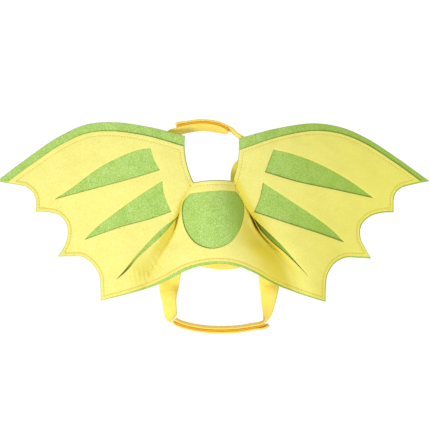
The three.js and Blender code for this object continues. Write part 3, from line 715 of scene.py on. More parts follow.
def triangulated(loops, fine_along):
    """Points and triangles that fill the loops, finer along some places; the loops' points come first."""
    rim = np.vstack(loops)
    low, high = rim.min(axis=0), rim.max(axis=0)
    seams = [line[inside(line, loops)] for line in seam_lines()]
    seams = [line[nearest(line, rim)[0] > CLEAR_OF_EDGE * FINE_GRID] for line in seams if len(line)]
    beside = [line + np.array([shift, 0]) for line in seam_lines() for shift in BESIDE_SEAM]
    beside = np.vstack(beside + [fine_along[::2]])
    beside = beside[inside(beside, loops)]
    beside = beside[nearest(beside, rim)[0] > CLEAR_OF_EDGE * FINE_GRID]
    spread = [beside]
    for step, fine in ((FINE_GRID, True), (GRID, False)):
        points = honeycomb(low, high, step)
        points = points[inside(points, loops)]
        points = points[(nearest(points, fine_along)[0] < FINE_ZONE) == fine]
        points = points[nearest(points, rim)[0] > CLEAR_OF_EDGE * step]
        for line in seams + [beside]:
            points = points[nearest(points, line)[0] > CLEAR_OF_EDGE * step] if len(line) else points
        spread.append(points)
    points = np.vstack([rim] + seams + spread)
    lines, first = [], 0
    for loop in loops:
        lines += [(first + k, first + (k + 1) % len(loop)) for k in range(len(loop))]
        first += len(loop)
    for line in seams:
        steps = np.linalg.norm(np.diff(line, axis=0), axis=1)
        lines += [(first + k, first + k + 1) for k, gap in enumerate(steps) if gap < 2 * FINE_GRID]
        first += len(line)
    found = delaunay_2d_cdt([tuple(p) for p in points], lines, [], 0, WELD)
    crossed = [tuple(v) for v, origin in zip(found[0], found[3]) if not origin]
    if crossed:
        raise ValueError(f"cut lines cross each other at {crossed}")
    origins = np.array([origin[0] for origin in found[3]])
    triangles = origins[np.array(found[2])]
    triangles = triangles[inside(points[triangles].mean(axis=1), loops)]
    a, b, c = (points[triangles[:, k]] for k in range(3))
    flip = cross(b - a, c - a) < 0
    triangles[flip] = triangles[flip][:, ::-1]
    return points, triangles


print("honeycomb steps in mm:", GRID, "and", FINE_GRID)

# %% A sheet with rounded rims
# Rim profile from top to bottom: how far in, as a share of the rounding; level, as a share of the thickness
RIM = [(1.0, 1.0), (0.36, 0.95), (0.06, 0.80), (0.0, 0.5), (0.06, 0.20), (0.36, 0.05), (1.0, 0.0)]


def mesh_object(name, points_mm, faces, material):
    """A smooth-shaded object at the origin, from points in millimetres."""
    mesh = bpy.data.meshes.new(name)
    mesh.from_pydata((np.asarray(points_mm) * MM).tolist(), [], faces)
    mesh.polygons.foreach_set("use_smooth", [True] * len(mesh.polygons))
    mesh.materials.append(material)
    made = bpy.data.objects.new(name, mesh)
    scene.collection.objects.link(made)
    return made


def sheet(name, loops, under, over, rounding, material, fine_along, press=None):
    """Cloth between two levels over the felt's underside; press is a function that dents its upper face."""
    steps = [inward(loop) * corner_room(loop, rounding) for loop in loops]
    rings = [[loop + step * rounding * share for loop, step in zip(loops, steps)] for share, _ in RIM]
    flat, triangles = triangulated(rings[0], fine_along)
    top, bottom = on_felt(flat, over), on_felt(flat, under)
    if press is not None:
        top[:, 2] -= press(flat)
    count, rim_count = len(flat), sum(len(loop) for loop in loops)
    rim_points = [
        on_felt(np.vstack(ring), under + (over - under) * level)
        for ring, (_, level) in zip(rings[1:-1], RIM[1:-1])]
    points = np.vstack([top, bottom] + rim_points)
    ring_starts = [0] + [2 * count + k * rim_count for k in range(len(rim_points))] + [count]
    faces = triangles.tolist() + (triangles[:, ::-1] + count).tolist()
    for upper, lower in zip(ring_starts, ring_starts[1:]):
        first = 0
        for loop in loops:
            ids = np.arange(len(loop)) + first
            after = np.roll(ids, -1)
            faces += np.column_stack([upper + ids, lower + ids, lower + after, upper + after]).tolist()
            first += len(loop)
    return mesh_object(name, points, faces, material), points


front_loops = [front_loop] + window_loops
print("rim rings:", len(RIM))

# %% [markdown]
# ## Stitching line
# One row of machine stitches runs round the front, a few millimetres inside its outer edges; the windows are
# left raw. The line is the front's outline moved in. At the sharp points of the wings a moved outline folds
# over itself, so the points that come too close to the edge are dropped.

# %% Line of the stitches
STITCH_PITCH = 3.0
GROOVE_DEPTH, GROOVE_HALF = 0.42, 0.85
# Share of the groove's depth all along the line, and more or less of it at and between the needle's holes
ALONG_PRESS, NEEDLE_PRESS = 0.65, 0.35

stitch_in = np.array([STITCH_IN[kind] for kind in front_kinds])
right_leading = (front_kinds == "leading") & (front_loop[:, 0] > 0)
stitch_in = np.where(right_leading, RIGHT_STITCH_IN, stitch_in)
moved = front_loop + inward(front_loop) * stitch_in[:, None]
moved = moved[clear_of(moved, front_loop, stitch_in) & inside(moved, [front_loop])]
stitch_line = evenly(np.vstack([moved, moved[:1]]), LINE_STEP)
stitch_at = np.arange(len(stitch_line)) * LINE_STEP


def press_of_stitches(flat):
    """How deep the stitching presses the felt at each point, deepest where the needle went in."""
    far, which = nearest(flat, stitch_line)
    needle = ALONG_PRESS + NEEDLE_PRESS * np.cos(2 * math.pi * stitch_at[which] / STITCH_PITCH)
    return GROOVE_DEPTH * needle * np.exp(-(far / GROOVE_HALF) ** 2)


print("stitching line in mm:", round(stitch_at[-1]))

# %% [markdown]
# ## Painted shade on the felt
# Felt that falls away to the right is painted its deep shade, and a tight fold is painted brown: both are
# painted shade. A harder lamp would darken those slopes too, but also every shadow on the table, so the shade
# is stored as a value at each point. Most of it follows from the height of the felt. The painted shade beside
# the right dart, over the wrinkles and in the slits comes from short tables.

# %% Painted shade of the felt
# Slope at which the felt is painted its deep shade in full, and less of it towards the neck: y, share
FULL_SHADE_SLOPE = 0.46
SHADE_BY_Y = ((-20.0, 0.0, 36.0), (1.0, 0.62, 0.35))
# Share of that shade from the ridge (0) to the right seam (1) and out on the wing: place across, share
SHADE_ACROSS = ((0.3, 0.7, 1.0, 1.25), (0.0, 1.0, 1.0, 0.3))
# Share of that shade on the left dart's bank: y, share
LEFT_BANK_SHADE = ((-34.0, -14.0, 4.0), (0.3, 0.9, 1.5))
# Painted shade of the front and of the backing on a full slope
FLANK_SHADE = (0.5, 0.8)
# Depth at which the left and the right crease are painted brown all through
FULL_CREASE = (2.6, 2.0)
# How far the painted shade of a crease reaches: y, and the reach on the left and on the right
CREASE_DARK = np.array([(-20, 1.5, 4.2), (-8, 1.5, 3.6), (2, 1.5, 2.2), (20, 1.5, 2.0)])
# Painted shade on the wing beside the right dart: y, shade at the seam, reach beyond it
DART_SHADE = np.array([
    (-58, 0.0, 8.0), (-44, 0.26, 8.0), (-36, 0.36, 6.0), (-28, 0.72, 5.0), (-20, 0.8, 6.0),
    (-8, 0.64, 9.0), (8, 0.6, 10.5), (16, 0.55, 7.0), (42, 0.55, 5.0), (50, 0.0, 5.0)])
# Patch of painted shade over the wrinkles by the left slit: x, y, reach, shade
WRINKLE_SHADE_PATCH = (-69.0, -43.0, 13.0, 0.27)
# Painted shade of the backing in the slits, which are nearly shut, and as far as this round them: y, shade
SLIT_MARGIN = 2.6
LEFT_SLIT_SHADE = ((-42.0, -26.0), (0.85, 0.0))
RIGHT_SLIT_SHADE = ((-40.0, -22.0, -8.0), (0.3, 0.55, 0.85))


def painted_shade_of_felt(points, flank):
    """Painted shade of the felt at each point: 0 none, 0.5 where it falls away to the right, 1 in a tight
    crease.
    """
    x, y = points[:, 0], points[:, 1]
    fall = (lying_height(x - SLOPE_STEP, y) - lying_height(x + SLOPE_STEP, y)) / (2 * SLOPE_STEP)
    _, seam_l, seam_r = sections_at(y)[:3]
    across = (2 * x - seam_l - seam_r) / (seam_r - seam_l)
    share = np.where(across < 0, np.interp(y, *LEFT_BANK_SHADE), np.interp(across, *SHADE_ACROSS))
    falling = np.minimum(flank * ease(fall / FULL_SHADE_SLOPE) * share * np.interp(y, *SHADE_BY_Y), FULL_DEEP_SHADE)
    crease = np.zeros(len(points))
    for seam, column, full in zip((seam_l, seam_r), (1, 2), FULL_CREASE):
        deep = np.interp(y, CREASES[:, 0], CREASES[:, column]) / full
        dark = np.interp(y, CREASE_DARK[:, 0], CREASE_DARK[:, column])
        crease = np.maximum(crease, deep * np.exp(-((x - seam) / dark) ** 2))
    # Painted shade on the wing beside the right dart
    most, reach = (np.interp(y, DART_SHADE[:, 0], DART_SHADE[:, column]) for column in (1, 2))
    dart_shade = np.where(x > seam_r, most * np.exp(-((x - seam_r) / reach) ** 2), 0)
    # Painted shade over the wrinkles by the left slit
    patch_x, patch_y, patch_reach, patch_shade = WRINKLE_SHADE_PATCH
    pressed = patch_shade * np.exp(-((x - patch_x) ** 2 + (y - patch_y) ** 2) / patch_reach ** 2)
    return np.minimum(np.max([falling, crease, dart_shade, pressed], axis=0), 1)


def painted_shade_in_slits(points):
    """Painted shade of the backing at each point, from the two slits alone."""
    slits = np.zeros(len(points))
    for window, painted_shade in ((LEFT_SLIT_WINDOW, LEFT_SLIT_SHADE), (RIGHT_SLIT_WINDOW, RIGHT_SLIT_SHADE)):
        in_slit = nearest(points[:, :2], window_loop(window))[0] < SLIT_MARGIN
        slits = np.maximum(slits, in_slit * np.interp(points[:, 1], *painted_shade))
    return slits


ridge_and_dart = np.array([(0.0, -10.0), (52.0, -10.0)])
print("lie on the ridge and beside the right dart:", painted_shade_of_felt(ridge_and_dart, FLANK_SHADE[0]).round(2))

# %% Tint of the stitches and values stored in a mesh
# Tint along the trailing edges and the tail, and elsewhere; its half width; tint from there to the edge
LINE_TINT, TINT_HALF, EDGE_TINT = (0.65, 0.08), 0.7, 0.2


def tint_of_stitches(flat):
    """How far the felt takes the stitches' tint, most along the trailing edges and the tail."""
    sewn_edge = np.isin(front_kinds, ("trailing", "tail"))
    strong = sewn_edge[nearest(stitch_line, front_loop)[1]]
    far, which = nearest(flat, stitch_line)
    line = np.where(strong, *LINE_TINT)[which] * np.exp(-(far / TINT_HALF) ** 2)
    edge_far = nearest(flat, evenly(front_loop[sewn_edge], LINE_STEP))[0]
    return np.maximum(line, EDGE_TINT * ease(STITCH_IN["tail"] - edge_far))


def sheet_parts(points, loops):
    """Which points of a sheet are on its cut rim, and which on its underside."""
    rim_points = (len(RIM) - 2) * sum(len(loop) for loop in loops)
    faces_end = len(points) - rim_points
    order = np.arange(len(points))
    return order >= faces_end, (order >= faces_end / 2) & (order < faces_end)


def store(piece, name, values):
    """Stores one value at each point of a piece's mesh."""
    attribute = piece.data.attributes.new(name, "FLOAT", "POINT")
    attribute.data.foreach_set("value", values.astype(np.float32))


print("tint of the stitches:", LINE_TINT)

# %% Backing and front
FELT, GAP, FELT_ROUNDING = 1.6, 0.3, 0.42
# Painted shade towards the right wing tip: x, and its share on the front and on the backing
SIDE_SHADE_X, SIDE_SHADE_FRONT, SIDE_SHADE_BACKING = (20.0, 115.0, 180.0), (0.0, 0.3, 0.48), (0.0, 0.45, 0.55)

spots = [
    honeycomb((x - reach, y - reach), (x + reach, y + reach), GRID) for x, y, _, _, reach, _ in WRINKLES]
fine_along = np.vstack([stitch_line] + spots)
backing, backing_points = sheet(
    "felt_backing", [backing_loop], 0, FELT, FELT_ROUNDING, green_felt, stitch_line)
front, front_points = sheet(
    "felt_front", front_loops, FELT + GAP, 2 * FELT + GAP, FELT_ROUNDING, yellow_felt, fine_along,
    press_of_stitches)
front_tint, backing_tint = tint_of_stitches(front_points[:, :2]), np.zeros(len(backing_points))
# Painted shade of the front and of the backing: on slopes, in creases, beside the right dart, over wrinkles,
# in slits
front_painted_shade = painted_shade_of_felt(front_points, FLANK_SHADE[0])
backing_painted_shade = np.maximum(painted_shade_of_felt(backing_points, FLANK_SHADE[1]), painted_shade_in_slits(backing_points))
felts = [
    (backing, backing_points, [backing_loop], backing_tint, backing_painted_shade, SIDE_SHADE_BACKING),
    (front, front_points, front_loops, front_tint, front_painted_shade, SIDE_SHADE_FRONT)]
for piece, points, loops, tint, painted_shade, turned in felts:
    rim, underside = sheet_parts(points, loops)
    store(piece, "sewn", tint)
    # Painted shade on slopes, in creases, by the dart, over the wrinkles and in the slits; none underneath
    store(piece, "painted_shade", np.where(underside, 0, painted_shade))
    # Painted shade towards the right wing tip
    store(piece, "turned", np.interp(points[:, 0], SIDE_SHADE_X, turned))
    # Painted shade on the cut rim
    store(piece, "rim", rim)
    print(piece.name, "faces:", len(piece.data.polygons))

# %% [markdown]
# ## Strap tape
# The straps are soft brushed tape, 20 mm wide, the kind that hooks cling to. Its face is a low pile of tiny
# loops and its two edges are bound in a narrow woven border. The pattern has to follow the tape round its
# loop, so it reads a UV map that counts metres along and across the tape. The real loops are about 0.3 mm;
# they are drawn at 0.9 mm to show at all. Where the tape stands on its edge it takes a painted shade, deeper
# towards the table, from a stored value.

# %% Tape, hook pad and thread materials
TAPE_WIDTH, TAPE = 20.0, 1.8
# Width of the border, half the width over which the pile gives way to it, and size of the brushed patches
BORDER_MM, BORDER_FADE_MM, BRUSHED_MM = 1.2, 0.4, 11.0
# Share of the brushed patches in the shade, the part of that noise that shows, share of the ribs in the pile
PATCHY, MOTTLE_FROM, MOTTLE_TO, RIB_SHARE = 0.5, 0.38, 0.62, 0.2
# Height of the pile's bumps, how deep light goes in, and size and height of the thread's twist
PILE_MM, LIGHT_DEPTH_MM = 0.35, 2.0
TWIST_MM, TWIST_HEIGHT_MM = 0.5, 0.1
# A wave texture of scale one has this many radians to the metre
WAVE_RATE = 20.0


def tape_material(name, pile_shade, border_shade, deep_shade, painted_upright_colour, loop_mm, rib_mm):
    """Brushed tape: a pile of loops over faint ribs, with a smooth border along both edges."""
    material, tree, surface = new_material(name)
    uv = add_node(tree, "ShaderNodeUVMap", uv_map="tape").outputs["UV"]
    across = add_node(tree, "ShaderNodeSeparateXYZ", {"Vector": uv}).outputs["Y"]
    off_middle = add_node(tree, "ShaderNodeMath", {0: across, 1: TAPE_WIDTH / 2 * MM}, operation="SUBTRACT")
    off_middle = add_node(tree, "ShaderNodeMath", {0: off_middle.outputs["Value"]}, operation="ABSOLUTE")
    border = add_node(tree, "ShaderNodeMapRange", {
        "Value": off_middle.outputs["Value"], "From Min": (TAPE_WIDTH / 2 - BORDER_MM - BORDER_FADE_MM) * MM,
        "From Max": (TAPE_WIDTH / 2 - BORDER_MM + BORDER_FADE_MM) * MM}, interpolation_type="SMOOTHSTEP")
    loops = add_node(tree, "ShaderNodeTexNoise", {
        "Vector": uv, "Scale": per_metre(loop_mm), "Detail": 3.0, "Roughness": 0.6, "Distortion": 0.8})
    brushed = add_node(tree, "ShaderNodeTexNoise", {
        "Vector": uv, "Scale": per_metre(BRUSHED_MM), "Detail": 2.0})
    ribs = add_node(tree, "ShaderNodeTexWave", {
        "Vector": uv, "Scale": per_metre(rib_mm) * 2 * math.pi / WAVE_RATE, "Distortion": 1.5, "Detail": 1.0},
        wave_type="BANDS", bands_direction="X")
    mottle = blend(tree, PATCHY, loops.outputs["Fac"], brushed.outputs["Fac"])
    spread = add_node(tree, "ShaderNodeMapRange", {
        "Value": mottle, "From Min": MOTTLE_FROM, "From Max": MOTTLE_TO})
    pile = blend(tree, spread.outputs["Result"], linear(deep_shade), linear(pile_shade), "RGBA")
    colour = blend(tree, border.outputs["Result"], pile, linear(border_shade), "RGBA")
    # Painted shade where the tape stands on its edge, deeper towards the table
    colour = blend(tree, stored(tree, "upright_shade"), colour, linear(painted_upright_colour), "RGBA")
    nap = blend(tree, RIB_SHARE, loops.outputs["Fac"], ribs.outputs["Fac"])
    height = blend(tree, border.outputs["Result"], nap, ribs.outputs["Fac"])
    bump = add_node(tree, "ShaderNodeBump", {"Height": height, "Strength": 0.4, "Distance": PILE_MM * MM})
    roughness = add_node(tree, "ShaderNodeMapRange", {
        "Value": border.outputs["Result"], "To Min": 0.9, "To Max": 0.65})
    shader = add_node(tree, "ShaderNodeBsdfPrincipled", {
        "Base Color": colour, "Roughness": roughness.outputs["Result"],
        "Normal": bump.outputs["Normal"], "IOR": 1.5, "Specular IOR Level": 0.25,
        "Sheen Weight": 0.15, "Sheen Roughness": 0.5, "Subsurface Weight": 0.15,
        "Subsurface Radius": (1.0, 0.6, 0.15), "Subsurface Scale": LIGHT_DEPTH_MM * MM})
    tree.links.new(shader.outputs["BSDF"], surface)
    return material


# The fourth colour is the painted shade of a tape that stands on its edge
brushed_tape = tape_material("brushed_loop_tape", "#ffe970", "#ffe566", "#fcdc5a", "#e4b83c", 0.9, 1.0)
# The pads are real; their orange is painted shade of the narrow gap between the two tapes
hook_tape = tape_material("hook_tape_painted_gap_shade", "#fbae16", "#ffb41e", "#f49c0a", "#ee9c10", 1.6, 1.6)

thread, tree, surface = new_material("spun_polyester_thread")
coords = add_node(tree, "ShaderNodeTexCoord").outputs["Object"]
twist = add_node(tree, "ShaderNodeTexNoise", {"Vector": coords, "Scale": per_metre(TWIST_MM), "Detail": 1.0})
shade = blend(tree, twist.outputs["Fac"], linear("#c6ac46"), linear("#dcc862"), "RGBA")
bump = add_node(tree, "ShaderNodeBump", {
    "Height": twist.outputs["Fac"], "Strength": 0.4, "Distance": TWIST_HEIGHT_MM * MM})
shader = add_node(tree, "ShaderNodeBsdfPrincipled", {
    "Base Color": shade, "Roughness": 0.55, "Normal": bump.outputs["Normal"], "IOR": 1.5,
    "Specular IOR Level": 0.3})
tree.links.new(shader.outputs["BSDF"], surface)
print("tapes:", brushed_tape.name, hook_tape.name, "thread:", thread.name)

# %% [markdown]
# ## Strap routes
# Each strap starts flat under the felt, turns up on its edge and stands on the table in a loop, where its two
# ends lie one on the other with a hook pad between them. A curve with a bevel could carry a tape, but it
# can't turn it from flat to upright where the photograph shows it. So each route has rows with the place of
# the tape's middle, its height and its lean, and a cross section is carried along them.

# %% Tables of the routes
# Rows: x, y, height or None, lean in degrees; sewn rows take both from the felt, others stand on the table
SEWN = "sewn"
NECK_LOOP = [
    (27.5, 34.0, None, SEWN), (27.3, 47.0, 11.5, 0), (28.3, 54.8, 11.0, 6), (34.2, 63.5, 10.6, 35),
    (36.8, 77.0, 10.4, 65), (31.3, 85.7, None, 87), (23.2, 90.5, None, 86), (14.5, 94.8, None, 83),
    (3.0, 98.3, None, 75), (-10.0, 99.8, None, 74), (-22.0, 98.7, None, 74), (-33.5, 95.9, 10.9, 73),
    (-43.0, 90.6, None, 72), (-47.5, 82.0, 10.4, 58), (-46.0, 70.0, 10.6, 38), (-39.0, 57.0, 11.0, 15),
    (-31.5, 46.0, 11.5, 0), (-28.0, 34.0, None, SEWN)]
BELLY_LOOP = [
    (-34.5, -17.0, None, SEWN), (-37.3, -28.0, None, SEWN), (-40.2, -40.0, None, SEWN),
    (-43.4, -56.0, 4.6, 3), (-44.2, -66.0, 7.0, 28), (-43.4, -75.0, 8.5, 46), (-41.2, -89.0, None, 90),
    (-36.5, -94.6, None, 90), (-22.0, -99.6, None, 90), (-7.0, -101.9, None, 90), (9.0, -102.6, None, 90),
    (25.0, -101.8, None, 90), (38.0, -99.8, None, 90), (52.0, -96.0, None, 90), (53.6, -88.0, None, 72),
    (54.6, -76.0, 8.5, 51), (55.6, -66.0, 7.0, 34), (55.8, -56.0, 4.6, 3), (53.8, -40.0, None, SEWN),
    (51.5, -28.0, None, SEWN), (49.5, -17.0, None, SEWN)]
# Where the inner and the outer tape of each loop end and the hook pad starts and ends, in rows
NECK_ENDS, BELLY_ENDS = (6.8, 11.15, 6.95, 11.1), (6.7, 13.1, 6.9, 12.95)
# The belly loop's outer tape is turned the other way, and this is its lean as it comes round the left corner
CORNER_ROW, CORNER_LEAN = 6, -52
# How far the outer tape's free end stands off the loop
END_SPRING = 1.2
# Thickness of the hook pad, its width, and the thickness of the outer and the inner tape with their pile
PAD, PAD_WIDTH = 1.5, 20.2
OUTER_TAPE, INNER_TAPE = 2.3, 2.2
# Room between a sewn tape and the felt over it, and how many places across the tape are tried for it
SEAT_GAP, SEAT_SAMPLES = 0.6, 21
# From one tape's middle to the other's, with a little room, where two stand side by side
TAPE_PITCH = 4.2
# Middle of the outer tape, the pad and the inner tape in the overlap, from the loop's middle outward
OUTER_SHIFT, PAD_SHIFT, INNER_SHIFT = 2.1, 0.15, -1.75
ROUTE_STEPS = 14
print("rows:", len(NECK_LOOP), len(BELLY_LOOP))

# %% Stations along a route
def along_rows(values, at):
    """Values between rows on a curve that never swings past them."""
    values = np.asarray(values, float)
    rise = np.diff(values)
    product = rise[:-1] * rise[1:]
    total = np.where(rise[:-1] + rise[1:] == 0, 1, rise[:-1] + rise[1:])
    slope = np.concatenate([rise[:1], np.where(product > 0, 2 * product / total, 0), rise[-1:]])
    k = np.minimum(at.astype(int), len(rise) - 1)
    return cubic(values[k], rise[k], slope[k], slope[k + 1], at - k)


def standing(lean):
    """Height of the middle of two tapes that stand on the table with this lean."""
    return TAPE_WIDTH / 2 * np.abs(np.sin(lean)) + (TAPE_PITCH + TAPE) / 2 * np.cos(lean)


def sewn_seat(place, outward, above):
    """Height and lean of a tape that lies flat under the felt, with this much between them."""
    u = np.linspace(-TAPE_WIDTH / 2, TAPE_WIDTH / 2, SEAT_SAMPLES)
    under = lying_height(place[0] + u * outward[0], place[1] + u * outward[1]) - above
    lean = math.atan2(under[-1] - under[0], TAPE_WIDTH)
    flat = u * math.cos(lean)
    under = lying_height(place[0] + flat * outward[0], place[1] + flat * outward[1]) - above
    room = under - u * math.sin(lean)
    return room.min() - SEAT_GAP - TAPE / 2 / math.cos(lean), lean


def route(rows, above):
    """Along a route: place in rows, middle of the tape, direction of its width, direction off the loop."""
    middle = smooth_path([row[:2] for row in rows], ROUTE_STEPS)
    at = np.arange(len(middle)) / ROUTE_STEPS
    ahead = np.gradient(middle, axis=0)
    outward = unit(np.column_stack([ahead[:, 1], -ahead[:, 0]]))
    seats = []
    for k, (x, y, z, lean) in enumerate(rows):
        if lean == SEWN:
            seats.append(sewn_seat((x, y), outward[k * ROUTE_STEPS], above))
        else:
            lean = math.radians(lean)
            seats.append((standing(lean) if z is None else z, lean))
    height, lean = (along_rows([seat[k] for seat in seats], at) for k in range(2))
    height = np.maximum(height, standing(lean))
    middle = np.column_stack([middle, height])
    across = np.column_stack([outward * np.cos(lean)[:, None], np.sin(lean)])
    away = unit(np.cross(np.gradient(middle, axis=0), across))
    return at, middle, across, away


neck_route, belly_route = route(NECK_LOOP, 0), route(BELLY_LOOP, GAP + TAPE)
turned_rows = [(x, y, z, lean if lean == SEWN else -lean) for x, y, z, lean in BELLY_LOOP]
turned_rows[CORNER_ROW] = (*turned_rows[CORNER_ROW][:3], CORNER_LEAN)
turned_route = route(turned_rows, GAP + TAPE)
for name, (_, middle, _, _) in (("neck", neck_route), ("belly", belly_route)):
    print(name, "loop in mm:", round(distances(middle)[-1]))

# %% A tape carried along its route
# Side of the section from top to bottom: in from the edge, level as a share of half the thickness
TAPE_SIDE = [(0.45, 0.80), (0.08, 0.5), (0.0, 0.0), (0.08, -0.5), (0.45, -0.80)]
# How far in from the edge the pile has its full height
PILE_IN = 1.3
# Largest corner radius of a free end, and those of the inner and the outer tape's free end in each loop
ROUND_END = 5.0
NECK_ROUNDS, BELLY_ROUNDS = (ROUND_END, 1.0), (1.0, 2.5)
# Rings from a tape's end on, close together where it is rounded; how far a cut end is thinned, and how much
END_RINGS = np.concatenate([[0, 0.15, 0.4, 0.8], np.linspace(1.4, ROUND_END + 1, 6)])
CUT_ROUNDING, CUT_THINNING = 0.5, 0.45
# Painted shade on a tape that stands on its edge: from and to this sine of its lean, share at its top and foot
STOOD_FROM, STOOD_TO, STOOD_SHARE = 0.75, 1.0, (0.15, 0.8)


def section_of_tape(width, thickness):
    """Cross section of a tape: a flat pile, thinner woven borders and rounded edges."""
    half, up = width / 2, thickness / 2
    side = [(half - inset, level * up) for inset, level in TAPE_SIDE]
    face = [(u, up) for u in (half - PILE_IN, half / 2, 0, -half / 2, PILE_IN - half)]
    upper = face + [(-u, v) for u, v in side]
    return np.array(upper + [(u, -v) for u, v in face[::-1]] + [(u, v) for u, v in side[::-1]])


def store_uv(piece, along_and_across):
    """Stores the places of a tape's points, in millimetres along and across it, as its UV map in metres."""
    layer = piece.data.uv_layers.new(name="tape")
    corners = np.empty(len(piece.data.loops), np.int32)
    piece.data.loops.foreach_get("vertex_index", corners)
    layer.data.foreach_set("uv", (along_and_across * MM)[corners].astype(np.float32).ravel())


def tape(name, stations, start, end, shift, width, thickness, material, round_ends=(0.0, 0.0)):
    """A tape between two places on a route, shifted off it; round_ends are the corner radii of its ends."""
    at, middle, across, away = stations
    used = (at >= start) & (at <= end)
    at, middle, across, away = at[used], middle[used], across[used], away[used]
    middle = middle + away * shift(at)[:, None]
    lengths = distances(middle)
    total = lengths[-1]
    inner = lengths[(lengths > END_RINGS[-1]) & (lengths < total - END_RINGS[-1])]
    places = np.unique(np.concatenate([END_RINGS, inner, total - END_RINGS]))
    middle, across, away = (
        np.column_stack([np.interp(places, lengths, values[:, k]) for k in range(3)])
        for values in (middle, across, away))
    profile = section_of_tape(width, thickness)
    shrink = np.zeros(len(places))
    for radius, from_end in zip(round_ends, (places, total - places)):
        inside_round = np.clip(radius - from_end, 0, None)
        shrink = np.maximum(shrink, radius - np.sqrt(np.maximum(radius ** 2 - inside_round ** 2, 0)))
    from_end = np.minimum(places, total - places)
    thin = 1 - CUT_THINNING * np.clip(1 - from_end / CUT_ROUNDING, 0, 1) ** 2
    half = width / 2
    u = profile[None, :, 0] * ((half - shrink) / half)[:, None]
    v = profile[None, :, 1] * thin[:, None]
    points = middle[:, None] + across[:, None] * u[..., None] + away[:, None] * v[..., None]
    count, ring = len(places), len(profile)
    faces = [tuple(range(ring))[::-1], tuple((count - 1) * ring + k for k in range(ring))]
    for n in range(count - 1):
        for k in range(ring):
            a, b = n * ring + k, n * ring + (k + 1) % ring
            faces.append((a, b, b + ring, a + ring))
    made = mesh_object(name, points.reshape(-1, 3), faces, material)
    store_uv(made, np.column_stack([np.repeat(places, ring), (u + half).ravel()]))
    # Painted shade where the tape stands on its edge, deeper towards the table
    upright = ease((np.abs(across[:, 2]) - STOOD_FROM) / (STOOD_TO - STOOD_FROM))
    share = np.interp(points[..., 2], (0, TAPE_WIDTH), STOOD_SHARE[::-1])
    store(made, "upright_shade", (upright[:, None] * share).ravel())
    print(name, "length in mm:", round(total))
    return made


def fastened_loop(names, stations, outer_stations, outer_side, rows, ends, rounds):
    """A loop's outer tape from the route's start, its inner tape to the route's end, and the pad between."""
    inner, outer, pad_from, pad_to = ends
    last = len(rows) - 1
    return [
        tape(names[0], outer_stations, 0, outer,
             lambda at: outer_side * (OUTER_SHIFT * ease(at - inner + 1) + END_SPRING * ease(at - outer + 1)),
             TAPE_WIDTH, OUTER_TAPE, brushed_tape, (0.0, rounds[1])),
        tape(names[1], stations, inner, last, lambda at: INNER_SHIFT * ease(outer + 1 - at), TAPE_WIDTH,
             INNER_TAPE, brushed_tape, (rounds[0], 0.0)),
        tape(names[2], stations, pad_from, pad_to, lambda at: np.full(len(at), PAD_SHIFT), PAD_WIDTH, PAD,
             hook_tape)]


neck_pieces = fastened_loop(
    ("neck_tape_right", "neck_tape_left", "neck_hook_pad"), neck_route, neck_route, 1, NECK_LOOP, NECK_ENDS,
    NECK_ROUNDS)
belly_pieces = fastened_loop(
    ("belly_tape_left", "belly_tape_right", "belly_hook_pad"), belly_route, turned_route, -1, BELLY_LOOP,
    BELLY_ENDS, BELLY_ROUNDS)

# %% [markdown]
# ## Tape across the back
# The belly strap is sewn to the underside of the back panel in a shallow bow, and its lower edge shows as a
# thin crescent below the tail. It follows the felt, so it is made as a sheet under it, in the tape's own
# finish.

# %% Back strap
# Lower edge of the tape: x, y
BACK_STRAP = [
    (-48, -31.0), (-27, -34.2), (-10.3, -40.0), (8.9, -42.7), (27.5, -40.6), (45, -34.8), (65, -31.0)]
BACK_ROUNDING = 0.5
# Where the tape's lower and upper edges end at left and right, inside the seams
LOW_ENDS, HIGH_ENDS = (-48.0, 60.0), (-38.0, 47.0)


def between(edge, ends):
    """The stretch of an edge between two values of x."""
    return edge[(edge[:, 0] >= ends[0]) & (edge[:, 0] <= ends[1])]


whole_edge = smooth_edge(BACK_STRAP)
low_edge = between(whole_edge, LOW_ENDS)
high_edge = between(whole_edge, HIGH_ENDS)[::-1] + np.array([0, TAPE_WIDTH])
ends = [arc(low_edge[-1], high_edge[0], 0), arc(high_edge[-1], low_edge[0], 0)]
back_loop = joined([low_edge, ends[0], high_edge, ends[1]])
back_strap, back_points = sheet(
    "belly_tape_back", [back_loop], -GAP - TAPE, -GAP, BACK_ROUNDING, brushed_tape, back_loop)
bow = np.interp(back_points[:, 0], low_edge[:, 0], low_edge[:, 1])
store_uv(back_strap, np.column_stack([back_points[:, 0], back_points[:, 1] - bow]))
print("back strap faces:", len(back_strap.data.polygons))

# %% [markdown]
# ## Stitches
# A machine stitch is a short length of thread that dips into the felt at both ends. Hundreds of the same
# stitch follow one line, which is work for Geometry Nodes: the line is turned into a curve, cut into equal
# steps, and a small bent tube is set on each step, turned along the line and square to the felt.

# %% Stitch tree
STITCH_BENDS, THREAD_SIDES = 5, 6


